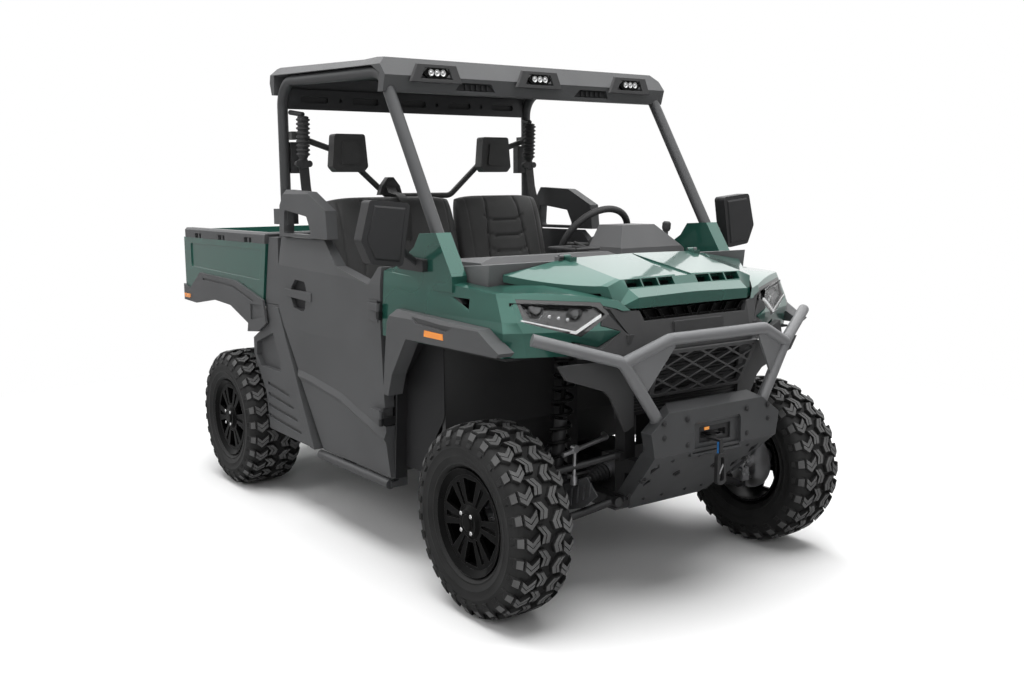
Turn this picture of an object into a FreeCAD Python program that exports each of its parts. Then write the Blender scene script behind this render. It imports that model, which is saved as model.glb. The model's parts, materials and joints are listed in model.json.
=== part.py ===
"""A two-seat side by side utility vehicle with a tipping cargo bed.

Row frame: +X forward, +Y to the vehicle's left, +Z up. The origin is on the ground, under the middle of the
vehicle. Sizes are in millimetres. A station is a distance ahead of the front axle. Left-hand pieces are
modelled and mirrored to the right.
"""

import FreeCAD
import Part

import math
import os

# Stance
wheelbase = 2160.0
front_overhang = 450.0
rear_overhang = 700.0
half_width_over_tyres = 812.0
ground_clearance = 318.0
front_axle_x = (wheelbase + rear_overhang - front_overhang) / 2
rear_axle_x = front_axle_x - wheelbase

# Fits
weld_gap = 0.3
joint_fit = 0.5
shut_gap = 6.0
part_gap = 6.0
seam = 2.0

# Body widths
body_half_width = 740.0
cage_inset = 50.0
cabin_inset = 30.0
seat_inset = 60.0
cage_half_width = body_half_width - cage_inset
cabin_half_width = cage_half_width - cabin_inset
seat_half_span = cabin_half_width - seat_inset

# Wheels
tyre_diameter = 686.0
front_tyre_width = 236.0
rear_tyre_width = 280.0
bead_radius = 190.0
bead_inset = 22.0
bead_depth = 18.0
lug_height = 18.0
lugs_a_side = 20
lug_inner = 14.0
shoulder = 30.0
barrel_wall = 7.0
barrel_radius = 172.0
rim_inset = 8.0
hub_radius = 52.0
hub_depth = 60.0
rim_face = 20.0
rim_plate = 14.0
twin_spokes = 6
spoke_pocket = 9.0
tyre_fit = 0.3
tyre_radius = tyre_diameter / 2
axle_z = tyre_radius

# Wheel carriers and steering
kingpin_y = 590.0
upright_below = 80.0
upright_above = 90.0
upright_half_x = 26.0
upright_half_y = 20.0
ball_radius = 20.0
ball_height = 30.0
joint_ball = 36.0
stub_radius = 34.0
disc_radius = 118.0
disc_offset = 40.0
disc_thickness = 6.0
steering_arm = 110.0
arm_thickness = 16.0
arm_half = 14.0
rack_z = 405.0
rack_radius = 9.0
rack_housing = 22.0
rack_drop = 12.0
shock_head_y = 368.0
shock_foot_in = 150.0
shock_foot_drop = 30.0
shock_offset = 22.0
shock_body = 16.0
shock_radius = 42.0
lower_spread = 150.0
upper_spread = 165.0
lower_arm_tube = 30.0
upper_arm_tube = 26.0
arm_sleeve_half = 28.0
shaft_radius = 13.0
steering_wheel_radius = 178.0
steering_wheel_rim = 15.0
steering_hub = 45.0
steering_wheel_y = 350.0
steering_wheel_x = -667.0
steering_wheel_z = 1239.0
steering_rake_deg = 57.0
hub_length = 34.0
column_radius = 26.0
column_length = 260.0

# Frame
rail_y = 215.0
rail_width = 50.0
rail_height = 40.0
skid_thickness = 8.0
tower_half = 185.0
tower_post = 50.0
tower_outer_y = 400.0
front_tower_top = 930.0
rear_tower_top = 885.0
tower_plate = 25.0
cowl_bar_x = -215.0
cowl_bar_z = 1040.0
cowl_bar_size = 40.0
horn_x = 335.0
horn_z = 470.0
tray_thickness = 12.0
frame_front = 190.0
frame_rear = -560.0
outrigger_half = 22.0
end_beam = 30.0
hitch_socket = 50.8
hitch_wall = 6.6
hitch_pin_radius = 8.3
hitch_rear = -690.0
diff_half = 110.0
engine_front = 560.0
engine_rear = -120.0
engine_top = 830.0
muffler_x = -400.0
muffler_z = 560.0
muffler_radius = 75.0
muffler_half = 170.0
pipe_radius = 25.0

# Cabin
floor_z = 420.0
floor_thickness = 20.0
floor_rear = -1440.0
floor_front = -430.0
firewall_x = -340.0
toe_board = 160.0
seat_front = -760.0
seat_rear = -1300.0
seat_base_z = 700.0
cushion_thickness = 110.0
cushion_length = 440.0
seat_back_height = 690.0
seat_back_thickness = 95.0
seat_back_lean_deg = 14.0
seat_split_y = 80.0
seat_gap = 8.0
headrest_half = 92.0
headrest_depth = 55.0
rest_bar = 28.0
rest_bar_dip = 200.0
dash_rear = -640.0
dash_front = -60.0
dash_top = 1205.0
dash_bottom = 900.0

# Cage and roof
cage_tube = 48.0
cage_bend = 110.0
pillar_foot_x = -150.0
pillar_top_x = -697.0
roof_rail_z = 1930.0
roof_rise = 38.0
headrest_y = cage_half_width - 277.0
headrest_low = roof_rail_z - 366.0
headrest_top = roof_rail_z - 193.0
belt_reel_low = roof_rail_z - 370.0
belt_reel_height = 140.0
rear_pillar_x = -1610.0
roof_overlap = 34.0
roof_front = -620.0
roof_rear = -1650.0
roof_crown = 66.0
roof_chamfer = 40.0
roof_rib = 6.0
visor_drop = 80.0
visor_wall = 40.0
roof_lamp_y = cage_half_width - 188.0
roof_lamp_half = 62.0
roof_lamp_half_height = 21.0
roof_lamp_proud = 14.0
beam_height = 90.0
beam_drop = 30.0
beam_thickness = 12.0
cross_tube = 36.0
lower_beam_z = 1180.0

# Front body
fender_rear = -655.0
fender_thickness = 30.0
fender_bottom = 920.0
hood_rear = -50.0
hood_front = 285.0
hood_rear_half = body_half_width - 140.0
hood_thickness = 26.0
hood_centre_z = 1235.0
hood_lip_z = 1072.0
slot_top = 1166.0
slot_bottom = 1140.0
slot_inner = 55.0
slot_outer = 285.0
slot_back = 196.0
slot_rib = 6.0
slot_bays = 3
trough_depth = 5.0
trough_half = 44.0
hinge_barrel = 7.0
hinge_pin = 3.5
hood_hinge_y = 300.0
hood_hinge_width = 30.0
liner_thickness = 8.0
fascia_wall = 25.0
fascia_shelf = 30.0
grille_low = 1027.0
grille_slat = 13.0
grille_slats_a_side = 4
mesh_bar = 9.0
mesh_columns = 4
mesh_rows = 3
mesh_thickness = 14.0
lower_grille_top = 932.0
lower_grille_low = 762.0
lower_grille_half = 250.0
lamp_recess = 16.0
lamp_inset = 47.0
lamp_tip_y = 401.0
lamp_rake = 0.46
lamp_depth = 190.0
sleeve_wall = 8.0
flare_inner = body_half_width - 28.0
flare_outer = body_half_width + 36.0

# Bull bar, plate and winch
bar_tube = 42.0
bar_bend = 46.0
gusset_thickness = 8.0
plate_nose = 407.0
plate_gauge = 8.0
plate_flange = 50.0
plate_knee_z = 575.0
plate_foot_x = 149.0
plate_foot_z = 317.0
window_half = 118.0
window_low = 560.0
window_high = 676.0
pan_depth = 16.0
fairlead_half = 80.0
fairlead_low = 592.0
fairlead_high = 650.0
drum_radius = 42.0
drum_half = 90.0
drum_x = 248.0
hook_y = -24.0
hook_half = 22.0
hook_low = 448.0
hook_top = 560.0

# Doors
door_front = -665.0
door_rear_top = -1598.0
door_rear_mid = -1612.0
door_rear_low = -1262.0
door_bottom = 340.0
door_thickness = 55.0
door_proud = 5.0
door_top = 1272.0
sill_z = 1112.0
door_hinge_x = -660.0
door_hinge_out = 12.0
door_barrel = 9.0
door_pin = 5.0
door_hinge_levels = (560.0, 985.0)
door_hinge_height = 60.0
door_post_x = -700.0
door_post_inset = 58.0
door_post_depth = 42.0
handle_pocket = 20.0
rocker_radius = 20.0
rocker_inset = 28.0

# Rear side panels
panel_inset = 8.0
panel_thickness = 37.0
intake_depth = 26.0
louvre_count = 4
louvre_depth = 8.0

# Bed
bed_front_top = 423.0
bed_front_low = 354.0
bed_floor_z = 960.0
bed_floor_thickness = 25.0
bed_wall = 34.0
bed_rail_top = 1288.0
bed_rail_height = 52.0
bed_rail_proud = 6.0
bed_hinge_x = -545.0
bed_hinge_z = 880.0
bed_pin = 12.0
runner_y = 325.0
runner_width = 50.0
corner_post = 62.0
skirt_thickness = 12.0
tie_down_stations = (-459.0, -126.0, 214.0)
tie_down_half = 46.0
tailgate_thickness = 40.0
tailgate_hinge_z = 922.0
tailgate_pin = 7.0
tailgate_hinge_y = body_half_width - 240.0
tailgate_hinge_width = 30.0
tailgate_ear = 12.0
gate_panel_depth = 7.0
lamp_thickness = 8.0


def fx(station):
    """Row X of a station measured ahead of the front axle."""
    return front_axle_x + station


def rx(station):
    """Row X of a station measured ahead of the rear axle."""
    return rear_axle_x + station


def vec(x, y, z):
    return FreeCAD.Vector(x, y, z)


def corner_arcs(points, radii, closed):
    """Edges of a polyline with tangent arcs at its corners. A radius of 0 keeps a corner sharp."""
    count = len(points)
    starts, ends, arcs = {}, {}, {}
    for i in range(count):
        starts[i] = ends[i] = points[i]
        if not closed and i in (0, count - 1):
            continue
        before = (points[i - 1] - points[i]).normalize()
        after = (points[(i + 1) % count] - points[i]).normalize()
        half = before.getAngle(after) / 2
        if radii[i] <= 0 or abs(half - math.pi / 2) < 1e-4:
            continue
        cut = radii[i] / math.tan(half)
        starts[i] = points[i] + before * cut
        ends[i] = points[i] + after * cut
        inward = (before + after).normalize()
        middle = points[i] + inward * (radii[i] / math.sin(half) - radii[i])
        arcs[i] = Part.Arc(starts[i], middle, ends[i]).toShape()
    edges = []
    for i in range(count):
        if i in arcs:
            edges.append(arcs[i])
        following = (i + 1) % count
        if (closed or i < count - 1) and (starts[following] - ends[i]).Length > 1e-6:
            edges.append(Part.LineSegment(ends[i], starts[following]).toShape())
    return edges


def closed_wire(points, radius=0.0):
    return Part.Wire(corner_arcs(points, [radius] * len(points), True))


def prism(points, direction, radius=0.0, grow=0.0):
    """A closed outline, grown by a gap where one is given, carried along a direction."""
    face = Part.Face(closed_wire(points, radius))
    if grow:
        face = face.makeOffset2D(grow, 2)
    return face.extrude(direction)


def across(outline, y0, y1, radius=0.0, grow=0.0):
    """A side-view outline of (x, z) points carried from y0 to y1."""
    return prism([vec(x, y0, z) for x, z in outline], vec(0, y1 - y0, 0), radius, grow)


def along(outline, x0, x1, radius=0.0, grow=0.0):
    """A front-view outline of (y, z) points carried from x0 to x1."""
    return prism([vec(x0, y, z) for y, z in outline], vec(x1 - x0, 0, 0), radius, grow)


def upward(outline, z0, z1, radius=0.0):
    """A plan outline of (x, y) points carried from z0 to z1."""
    return prism([vec(x, y, z0) for x, y in outline], vec(0, 0, z1 - z0), radius)


def block(x0, x1, y0, y1, z0, z1):
    return Part.makeBox(x1 - x0, y1 - y0, z1 - z0, vec(x0, y0, z0))


def stations(outline):
    """A side-view outline of (station, z) points as row (x, z) points."""
    return [(fx(station), z) for station, z in outline]


def rear_stations(outline):
    """A side-view outline of (station ahead of the rear axle, z) points as row (x, z) points."""
    return [(rx(station), z) for station, z in outline]


def loft(rings):
    """A solid with flat sides between rings of points."""
    return Part.makeLoft([closed_wire(ring) for ring in rings], True, True)


def plan_loft(levels):
    """A body lofted between plan outlines at rising heights, each given as its left half of (station, y)."""
    rings = []
    for z, left in levels:
        whole = left + [(station, -y) for station, y in reversed(left)]
        rings.append([vec(fx(station), y, z) for station, y in whole])
    return loft(rings)


def arch_loft(sections):
    """A body lofted between front-view outlines at stations, each given as its left half of (y, z)."""
    rings = []
    for station, left in sections:
        whole = left + [(-y, z) for y, z in reversed(left)]
        rings.append([vec(fx(station), y, z) for y, z in whole])
    return loft(rings)


def rod(start, end, radius):
    axis = end - start
    return Part.makeCylinder(radius, axis.Length, start, axis)


def tube(points, diameter, bend):
    """A round bar bent along a route of points."""
    path = Part.Wire(corner_arcs(points, [bend] * len(points), False))
    heading = (points[1] - points[0]).normalize()
    section = Part.Wire(Part.makeCircle(diameter / 2, points[0], heading))
    return path.makePipeShell([section], True, True)


def mirrored(shape):
    return shape.mirror(vec(0, 0, 0), vec(0, 1, 0))


def both_sides(shape):
    return [shape, mirrored(shape)]


def largest(shape):
    return max(shape.Solids, key=lambda solid: solid.Volume)


def turned(outline, y0, z, x):
    """A solid of revolution about the wheel axis through (x, z). outline has (radius, y) points."""
    ring = [vec(x, y0 + y, z + radius) for radius, y in outline]
    face = Part.Face(closed_wire(ring))
    return face.revolve(vec(x, y0, z), vec(0, 1, 0), 360)


def save(name, *shapes):
    solids = [solid for shape in shapes for solid in shape.Solids]
    Part.makeCompound(solids).exportStep(os.path.join("parts", name + ".step"))


def tyre_section(width, raised):
    """Outline of one tread sector as (radius, y) points; its lug stands up on the raised side, -1 or 1."""
    half = width / 2
    floor = tyre_radius - lug_height
    wall = (floor + bead_radius) / 2
    flank = [(barrel_radius + tyre_fit, half - bead_inset - bead_depth), (bead_radius, half - bead_inset),
             (wall, half)]
    low = flank + [(floor - lug_height, half - shoulder / 3), (floor, half - shoulder)]
    high = flank + [(tyre_radius - shoulder, half - 2), (tyre_radius, half - shoulder * 0.8),
                    (tyre_radius, lug_inner), (floor, lug_inner - lug_height / 2)]
    first, second = (high, low) if raised > 0 else (low, high)
    return first + [(radius, -y) for radius, y in reversed(second)]


def tread_sector(outline, start, end):
    """A flat-sided sector of the tyre between two angles about the wheel axis, in radians."""
    true_radius = 1 / math.cos((end - start) / 2)
    rings = []
    for angle in (start, end):
        ring = [vec(r * true_radius * math.cos(angle), y, r * true_radius * math.sin(angle)) for r,
                y in outline]
        rings.append(ring + ring[:1])
    faces = [Part.Face(Part.makePolygon(ring)) for ring in rings]
    for i in range(len(outline)):
        quad = [rings[0][i], rings[0][i + 1], rings[1][i + 1], rings[1][i], rings[0][i]]
        faces.append(Part.Face(Part.makePolygon(quad)))
    return Part.makeSolid(Part.makeShell(faces))


def tyre(axle_x, width):
    """A left-hand tyre in place: staggered shoulder lugs on a flat-sided carcass, one facet on the ground."""
    count = 2 * lugs_a_side
    step = 2 * math.pi / count
    first = -math.pi / 2 - step / 2
    sectors = []
    for i in range(count):
        outline = tyre_section(width, 1 if i % 2 else -1)
        sectors.append(tread_sector(outline, first + i * step, first + (i + 1) * step))
    shape = sectors[0].fuse(sectors[1:]).removeSplitter()
    shape.translate(vec(axle_x, half_width_over_tyres - width / 2, axle_z))
    return shape


def face_cutters(outline, depth, top, axle_x, turn):
    """Cutters for the rim's face: one plan outline of (across, radius) points repeated round the axle."""
    cuts = []
    for i in range(twin_spokes):
        cut = upward(outline, -depth, top)
        cut.rotate(vec(0, 0, 0), vec(0, 0, 1), turn + i * 360 / twin_spokes)
        cut.rotate(vec(0, 0, 0), vec(1, 0, 0), -90)
        cut.translate(vec(axle_x, half_width_over_tyres - rim_inset - rim_face, axle_z))
        cuts.append(cut)
    return Part.makeCompound(cuts)


def rim(axle_x, width):
    """A left-hand cast wheel: barrel, outer lip, six twin spokes and hub."""
    outer = half_width_over_tyres - rim_inset
    half = width / 2
    middle = half_width_over_tyres - half
    bore = barrel_radius - barrel_wall
    lip = half - bead_inset + 2
    barrel = turned(
        [(bore, -half + 30), (barrel_radius, -half + 30), (barrel_radius, lip - bead_depth),
         (bead_radius - tyre_fit, lip), (bead_radius - tyre_fit, lip + 6), (bore, lip - bead_depth + 8)],
        middle, axle_z, axle_x)
    back = -rim_face - rim_plate
    face = turned([(0, -hub_depth), (hub_radius, -hub_depth), (hub_radius, back), (bore + 1, back),
                   (bore + 1, -rim_face), (hub_radius + 8, -rim_face), (hub_radius - 6, -rim_inset),
                   (0, -rim_inset)],
                  outer, axle_z, axle_x)
    window = [(-16, hub_radius + 18), (16, hub_radius + 18), (40, bore - 14), (-40, bore - 14)]
    groove = [(-5, hub_radius + 14), (5, hub_radius + 14), (11, bore - 16), (-11, bore - 16)]
    half_turn = 180 / twin_spokes
    face = face.cut(face_cutters(window, rim_plate + 10, rim_face, axle_x, 0))
    face = face.cut(face_cutters(groove, spoke_pocket, rim_face, axle_x, half_turn))
    return barrel.fuse(face).removeSplitter()


def wheels():
    for name, axle_x, width in (("front", front_axle_x, front_tyre_width),
                                ("rear", rear_axle_x, rear_tyre_width)):
        left_tyre = tyre(axle_x, width)
        left_rim = rim(axle_x, width)
        save(f"tyre_{name}_left", left_tyre)
        save(f"tyre_{name}_right", mirrored(left_tyre))
        save(f"rim_{name}_left", left_rim)
        save(f"rim_{name}_right", mirrored(left_rim))


def upright(axle_x):
    """A left-hand wheel carrier: upright, stub axle, brake disc and the drive joint's ball."""
    hub_face = half_width_over_tyres - rim_inset - hub_depth - weld_gap
    centre = vec(axle_x, kingpin_y, axle_z)
    body = block(axle_x - upright_half_x, axle_x + upright_half_x, kingpin_y - upright_half_y,
                 kingpin_y + upright_half_y, axle_z - upright_below, axle_z + upright_above)
    stub = rod(centre, vec(axle_x, hub_face, axle_z), stub_radius)
    disc = rod(centre + vec(0, disc_offset, 0), centre + vec(0, disc_offset + disc_thickness, 0),
               disc_radius)
    return body.fuse([stub, disc, Part.makeSphere(joint_ball, centre)])


def knuckle():
    """The left steering knuckle, with its steering arm behind the axle."""
    arm = block(fx(-steering_arm) - arm_half, fx(1 - upright_half_x), kingpin_y - arm_half,
                kingpin_y + arm_half,
                rack_z, rack_z + arm_thickness)
    return upright(fx(0)).fuse(arm)


def wishbone(axle_x, spread, z_in, z_out, diameter):
    """Two round legs from sleeves on the frame to a boss on the kingpin axis."""
    face = rail_y + rail_width / 2 + weld_gap
    sleeve = diameter * 0.6
    tip = vec(axle_x, kingpin_y, z_out)
    half_sleeve = vec(arm_sleeve_half, 0, 0)
    pieces = []
    for side in (-1, 1):
        root = vec(axle_x + side * spread, face + sleeve, z_in)
        pieces.append(rod(root, tip, diameter / 2))
        pieces.append(rod(root - half_sleeve, root + half_sleeve, sleeve))
    boss = rod(tip - vec(0, 0, ball_height / 2), tip + vec(0, 0, ball_height / 2), ball_radius)
    shape = boss.fuse(pieces)
    carrier_low = vec(axle_x, kingpin_y, axle_z - upright_below - joint_fit)
    carrier_high = vec(axle_x, kingpin_y, axle_z + upright_above + joint_fit)
    return shape.cut(rod(carrier_low, carrier_high, 3 * ball_radius))


def shock(axle_x, tower_top):
    """A coil-over from the lower arm up to the tower's plate, ahead of the drive shaft."""
    x = axle_x + shock_offset
    foot = vec(x, kingpin_y - shock_foot_in, axle_z - shock_foot_drop)
    head = vec(x, shock_head_y, tower_top)
    lift = head - foot
    body = rod(foot - lift * 0.02, head + lift * 0.05, shock_body)
    spring = rod(foot + lift * 0.22, foot + lift * 0.94, shock_radius)
    reach = 2 * shock_radius
    inner, outer = shock_head_y - 2 * reach, kingpin_y
    above = block(x - reach, x + reach, inner, outer, tower_top - weld_gap, tower_top + 2 * reach)
    below = block(x - reach, x + reach, inner, outer, 0, foot.z)
    return body.fuse(spring).cut(above).cut(below)


def drive_shaft(axle_x, inner_y):
    """A left-hand shaft from the differential's side to the joint ball in the wheel carrier."""
    centre = vec(axle_x, kingpin_y, axle_z)
    start = vec(axle_x - 55, inner_y, axle_z + 62)
    shaft = rod(start, centre, shaft_radius)
    inside = block(axle_x - 200, axle_x + 200, 0, inner_y + weld_gap, 200, 600)
    flange = rod(start + vec(0, weld_gap, 0), start + vec(0, 16, 0), 32)
    return shaft.fuse(flange).cut(inside).cut(Part.makeSphere(joint_ball + joint_fit, centre))


def rack_axis(half_length, radius):
    """A bar on the steering rack's axis."""
    x, z = fx(-steering_arm), rack_z - joint_fit - rack_drop
    return rod(vec(x, -half_length, z), vec(x, half_length, z), radius)


def shock_seat(axle_x):
    """The spring seat on the lower arm and the bridge between its legs."""
    x, y = axle_x + shock_offset, kingpin_y - shock_foot_in
    top = axle_z - shock_foot_drop - weld_gap
    seat = block(x - 22, x + 22, y - 22, y + 22, top - 30, top)
    bridge = block(axle_x - 70, axle_x + 75, y - 18, y + 18, top - 28, top - 12)
    return [seat, bridge]


def suspension():
    arms, shocks, shafts = [], [], []
    ends = ((fx(0), front_tower_top, diff_half), (rx(0), rear_tower_top, rail_y - rail_width / 2))
    low_z = axle_z - upright_below - joint_fit - ball_height / 2
    high_z = axle_z + upright_above + joint_fit + ball_height / 2
    for axle_x, tower_top, inner_y in ends:
        lower = wishbone(axle_x, lower_spread, axle_z + 18, low_z, lower_arm_tube)
        upper = wishbone(axle_x, upper_spread, axle_z + 190, high_z, upper_arm_tube)
        shocks += both_sides(shock(axle_x, tower_top))
        arms += both_sides(lower.fuse(shock_seat(axle_x))) + both_sides(upper)
        shafts += both_sides(drive_shaft(axle_x, inner_y))
    save("suspension_arms", *arms)
    save("shock_absorbers", *shocks)
    save("drive_shafts", *shafts)
    save("rear_uprights", *both_sides(upright(rx(0))))
    save("knuckle_left", knuckle())
    save("knuckle_right", mirrored(knuckle()))
    x, z = fx(-steering_arm), rack_z - joint_fit
    eyes = [rod(vec(x, side * kingpin_y, z - 2 * rack_drop), vec(x, side * kingpin_y, z),
                arm_half) for side in (-1, 1)]
    save("steering_rack", rack_axis(kingpin_y, rack_radius).fuse(eyes))


def frame_heights():
    """Underside and top of the frame rails, and the underside of the cabin floor."""
    low = ground_clearance + skid_thickness + weld_gap
    return low, low + rail_height, floor_z - weld_gap


def frame_ladder():
    """The two rails, their cross members and the outriggers under the cabin and pillars."""
    low, rail_top, high = frame_heights()
    inner, outer = rail_y - rail_width / 2, rail_y + rail_width / 2
    parts = both_sides(block(rx(frame_rear), fx(frame_front), inner, outer, low, rail_top))
    for x in (fx(frame_front - 18), fx(-300), rx(-220)):
        parts.append(block(x - 15, x + 15, -inner - 1, inner + 1, low + 10, rail_top))
    post_y = body_half_width - door_post_inset
    ends = ((fx(door_post_x + outrigger_half), post_y), (fx(-1100), post_y),
            (fx(rear_pillar_x), cage_half_width + outrigger_half))
    for x, end_y in ends:
        parts += both_sides(block(x - outrigger_half, x + outrigger_half, inner, end_y, rail_top - 1, high))
    parts.append(block(rx(frame_rear), rx(frame_rear) + end_beam, -inner - 1, inner + 1, low + 10, high))
    return parts


def frame_towers():
    """Four-post towers over both axles, with the plates that hold the springs' heads."""
    rail_top = frame_heights()[1]
    post = tower_post / 2
    parts = []
    for axle_x, top_z in ((fx(0), front_tower_top), (rx(0), rear_tower_top)):
        for x in (axle_x + post - tower_half, axle_x + tower_half - post):
            parts += both_sides(block(x - post, x + post, rail_y - post, rail_y + post, rail_top - 1,
                                      top_z + 1))
        parts += both_sides(block(axle_x - tower_half, axle_x + tower_half, rail_y - post, tower_outer_y,
                                  top_z, top_z + tower_plate))
    horn_rear = fx(tower_half) - 2
    parts += both_sides(block(horn_rear, fx(horn_x), rail_y - post, rail_y + post, horn_z,
                              horn_z + tower_post))
    parts.append(block(horn_rear, fx(horn_x), post - rail_y, rail_y - post, horn_z,
                       horn_z + tray_thickness))
    return parts


def frame_hinge_posts():
    """Door posts with the fixed half of each door hinge."""
    high = frame_heights()[2]
    outer = body_half_width - door_post_inset
    x = fx(door_post_x)
    parts = both_sides(block(x, x + 40, outer - door_post_depth, outer, high - 1,
                             door_hinge_levels[1] + 50))
    axis = door_hinge_axis()
    half_height = door_hinge_height / 2 - 1
    for level in door_hinge_levels:
        arm = block(axis.x - 12, axis.x - 2, outer - 32, axis.y, level, level + half_height)
        pin = rod(axis + vec(0, 0, level), axis + vec(0, 0, level + door_hinge_height), door_pin)
        parts += both_sides(arm.fuse([door_hinge_barrel(level, half_height), pin]))
    return parts


def frame():
    low, rail_top, high = frame_heights()
    inner, outer = rail_y - rail_width / 2, rail_y + rail_width / 2
    parts = frame_ladder() + frame_towers() + frame_hinge_posts()
    bar_rear, bar_front = fx(cowl_bar_x), fx(cowl_bar_x) + cowl_bar_size
    bar_end = cage_half_width + outrigger_half
    parts.append(block(bar_rear, bar_front, -bar_end, bar_end, cowl_bar_z, cowl_bar_z + cowl_bar_size))
    parts += both_sides(block(bar_rear, bar_front, inner, outer, rail_top - 1, cowl_bar_z + 1))
    beam_x = rx(frame_rear)
    parts += both_sides(block(beam_x, beam_x + end_beam, inner, outer, rail_top - 1, bed_hinge_z + 14))
    pivot = vec(rx(bed_hinge_x), runner_y + 40, bed_hinge_z)
    parts.append(rod(vec(pivot.x, -pivot.y, pivot.z), pivot, bed_pin))
    save("chassis_frame", parts[0].fuse(parts[1:]).cut(plate_front(plate_gauge + weld_gap, 400)))
    outline = [(rx(-300), 240), (rx(330), 240), (rx(480), 520), (fx(-480), 520), (fx(-420), 240),
               (fx(plate_foot_x - 10), 240)]
    outline += [(x, -y) for x, y in reversed(outline)]
    save("skid_plate", upward(outline, ground_clearance, ground_clearance + skid_thickness))
    save("engine_block", block(rx(engine_rear), rx(engine_front), weld_gap - inner, inner - weld_gap,
                               low + weld_gap, engine_top))
    hitch((low + high) / 2, inner)
    centre = vec(rx(muffler_x), 0, muffler_z)
    muffler = rod(centre - vec(0, muffler_half, 0), centre + vec(0, muffler_half, 0), muffler_radius)
    pipe_start = centre + vec(0, 60, 0)
    pipe = rod(pipe_start, vec(rx(engine_rear) - weld_gap, pipe_start.y, muffler_z), pipe_radius)
    save("exhaust", muffler.fuse(pipe))
    differential(low)


def hitch(z, inner):
    """The rear hitch receiver: a square socket with a cross pin hole, welded to a crossbar."""
    reach = hitch_socket / 2
    outer = reach + hitch_wall
    end = rx(frame_rear) - weld_gap
    start = rx(hitch_rear)
    receiver = block(start, end, -outer, outer, z - outer, z + outer)
    crossbar = block(end - end_beam, end, -inner - 40, inner + 40, z - outer, z + outer)
    socket = block(start - 10, start + 115, -reach, reach, z - reach, z + reach)
    pin = rod(vec(start + 40, -60, z), vec(start + 40, 60, z), hitch_pin_radius)
    save("hitch_receiver", receiver.fuse(crossbar).cut(socket).cut(pin))


def differential(low):
    """The front drive case with the steering rack's housing behind it."""
    case = block(fx(-85), fx(110), -diff_half, diff_half, low + weld_gap, axle_z + 130)
    half_housing = diff_half + 40
    bore = rack_axis(half_housing + 10, rack_radius + joint_fit)
    neck = block(fx(-95), fx(-84), -60, 60, rack_z - 25, rack_z)
    save("front_differential", case.fuse([rack_axis(half_housing, rack_housing), neck]).cut(bore))


def door_hinge_axis():
    return vec(fx(door_hinge_x), body_half_width + door_proud + door_hinge_out, 0)


def door_hinge_barrel(z, height):
    axis = door_hinge_axis()
    return rod(vec(axis.x, axis.y, z), vec(axis.x, axis.y, z + height), door_barrel)


def floor_pan():
    wall = floor_thickness
    front, rear = fx(firewall_x), fx(floor_rear)
    under_dash = dash_bottom - weld_gap
    floor = across([(rear, floor_z), (fx(floor_front), floor_z), (front, floor_z + toe_board),
                    (front, under_dash),
                    (front - wall, under_dash), (front - wall, floor_z + toe_board + 10),
                    (fx(floor_front) - 10, floor_z + wall), (rear, floor_z + wall)], -cabin_half_width,
                    cabin_half_width)
    post_y = body_half_width - door_post_inset - door_post_depth
    post = block(fx(door_post_x) - 5, fx(door_post_x) + 45, post_y - 5, post_y + 60, floor_z - 1, sill_z)
    pillar = block(fx(rear_pillar_x) - 30, fx(rear_pillar_x) + 30, cage_half_width - 40,
                   cage_half_width + 50,
                   floor_z - 1, sill_z)
    save("floor_pan", floor.cut(Part.makeCompound(both_sides(post) + both_sides(pillar))))


def seats():
    top = floor_z + floor_thickness + weld_gap
    base_rear = fx(seat_rear)
    base = across([(base_rear, top), (fx(seat_front) - 30, top), (fx(seat_front), seat_base_z),
                   (base_rear, seat_base_z)], -seat_half_span, seat_half_span)
    save("seat_base", base)
    spans = ((-seat_half_span, seat_split_y), (seat_split_y + seat_gap, seat_half_span))
    low = seat_base_z + weld_gap
    rear = fx(seat_front) - cushion_length
    cushion = [(rear, low), (fx(seat_front), low), (fx(seat_front), low + cushion_thickness),
               (rear, low + cushion_thickness - 20)]
    save("seat_cushions", *[across(cushion, y0, y1, 20) for y0, y1 in spans])
    lean = math.tan(math.radians(seat_back_lean_deg)) * seat_back_height
    foot = rear - weld_gap
    foot_top = low + 60
    back = [(foot - seat_back_thickness, low), (foot, low), (foot, foot_top),
            (foot - lean, foot_top + seat_back_height),
            (foot - seat_back_thickness - lean, foot_top + seat_back_height)]
    save("seat_backs", *[across(back, y0, y1, 18) for y0, y1 in spans])


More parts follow.
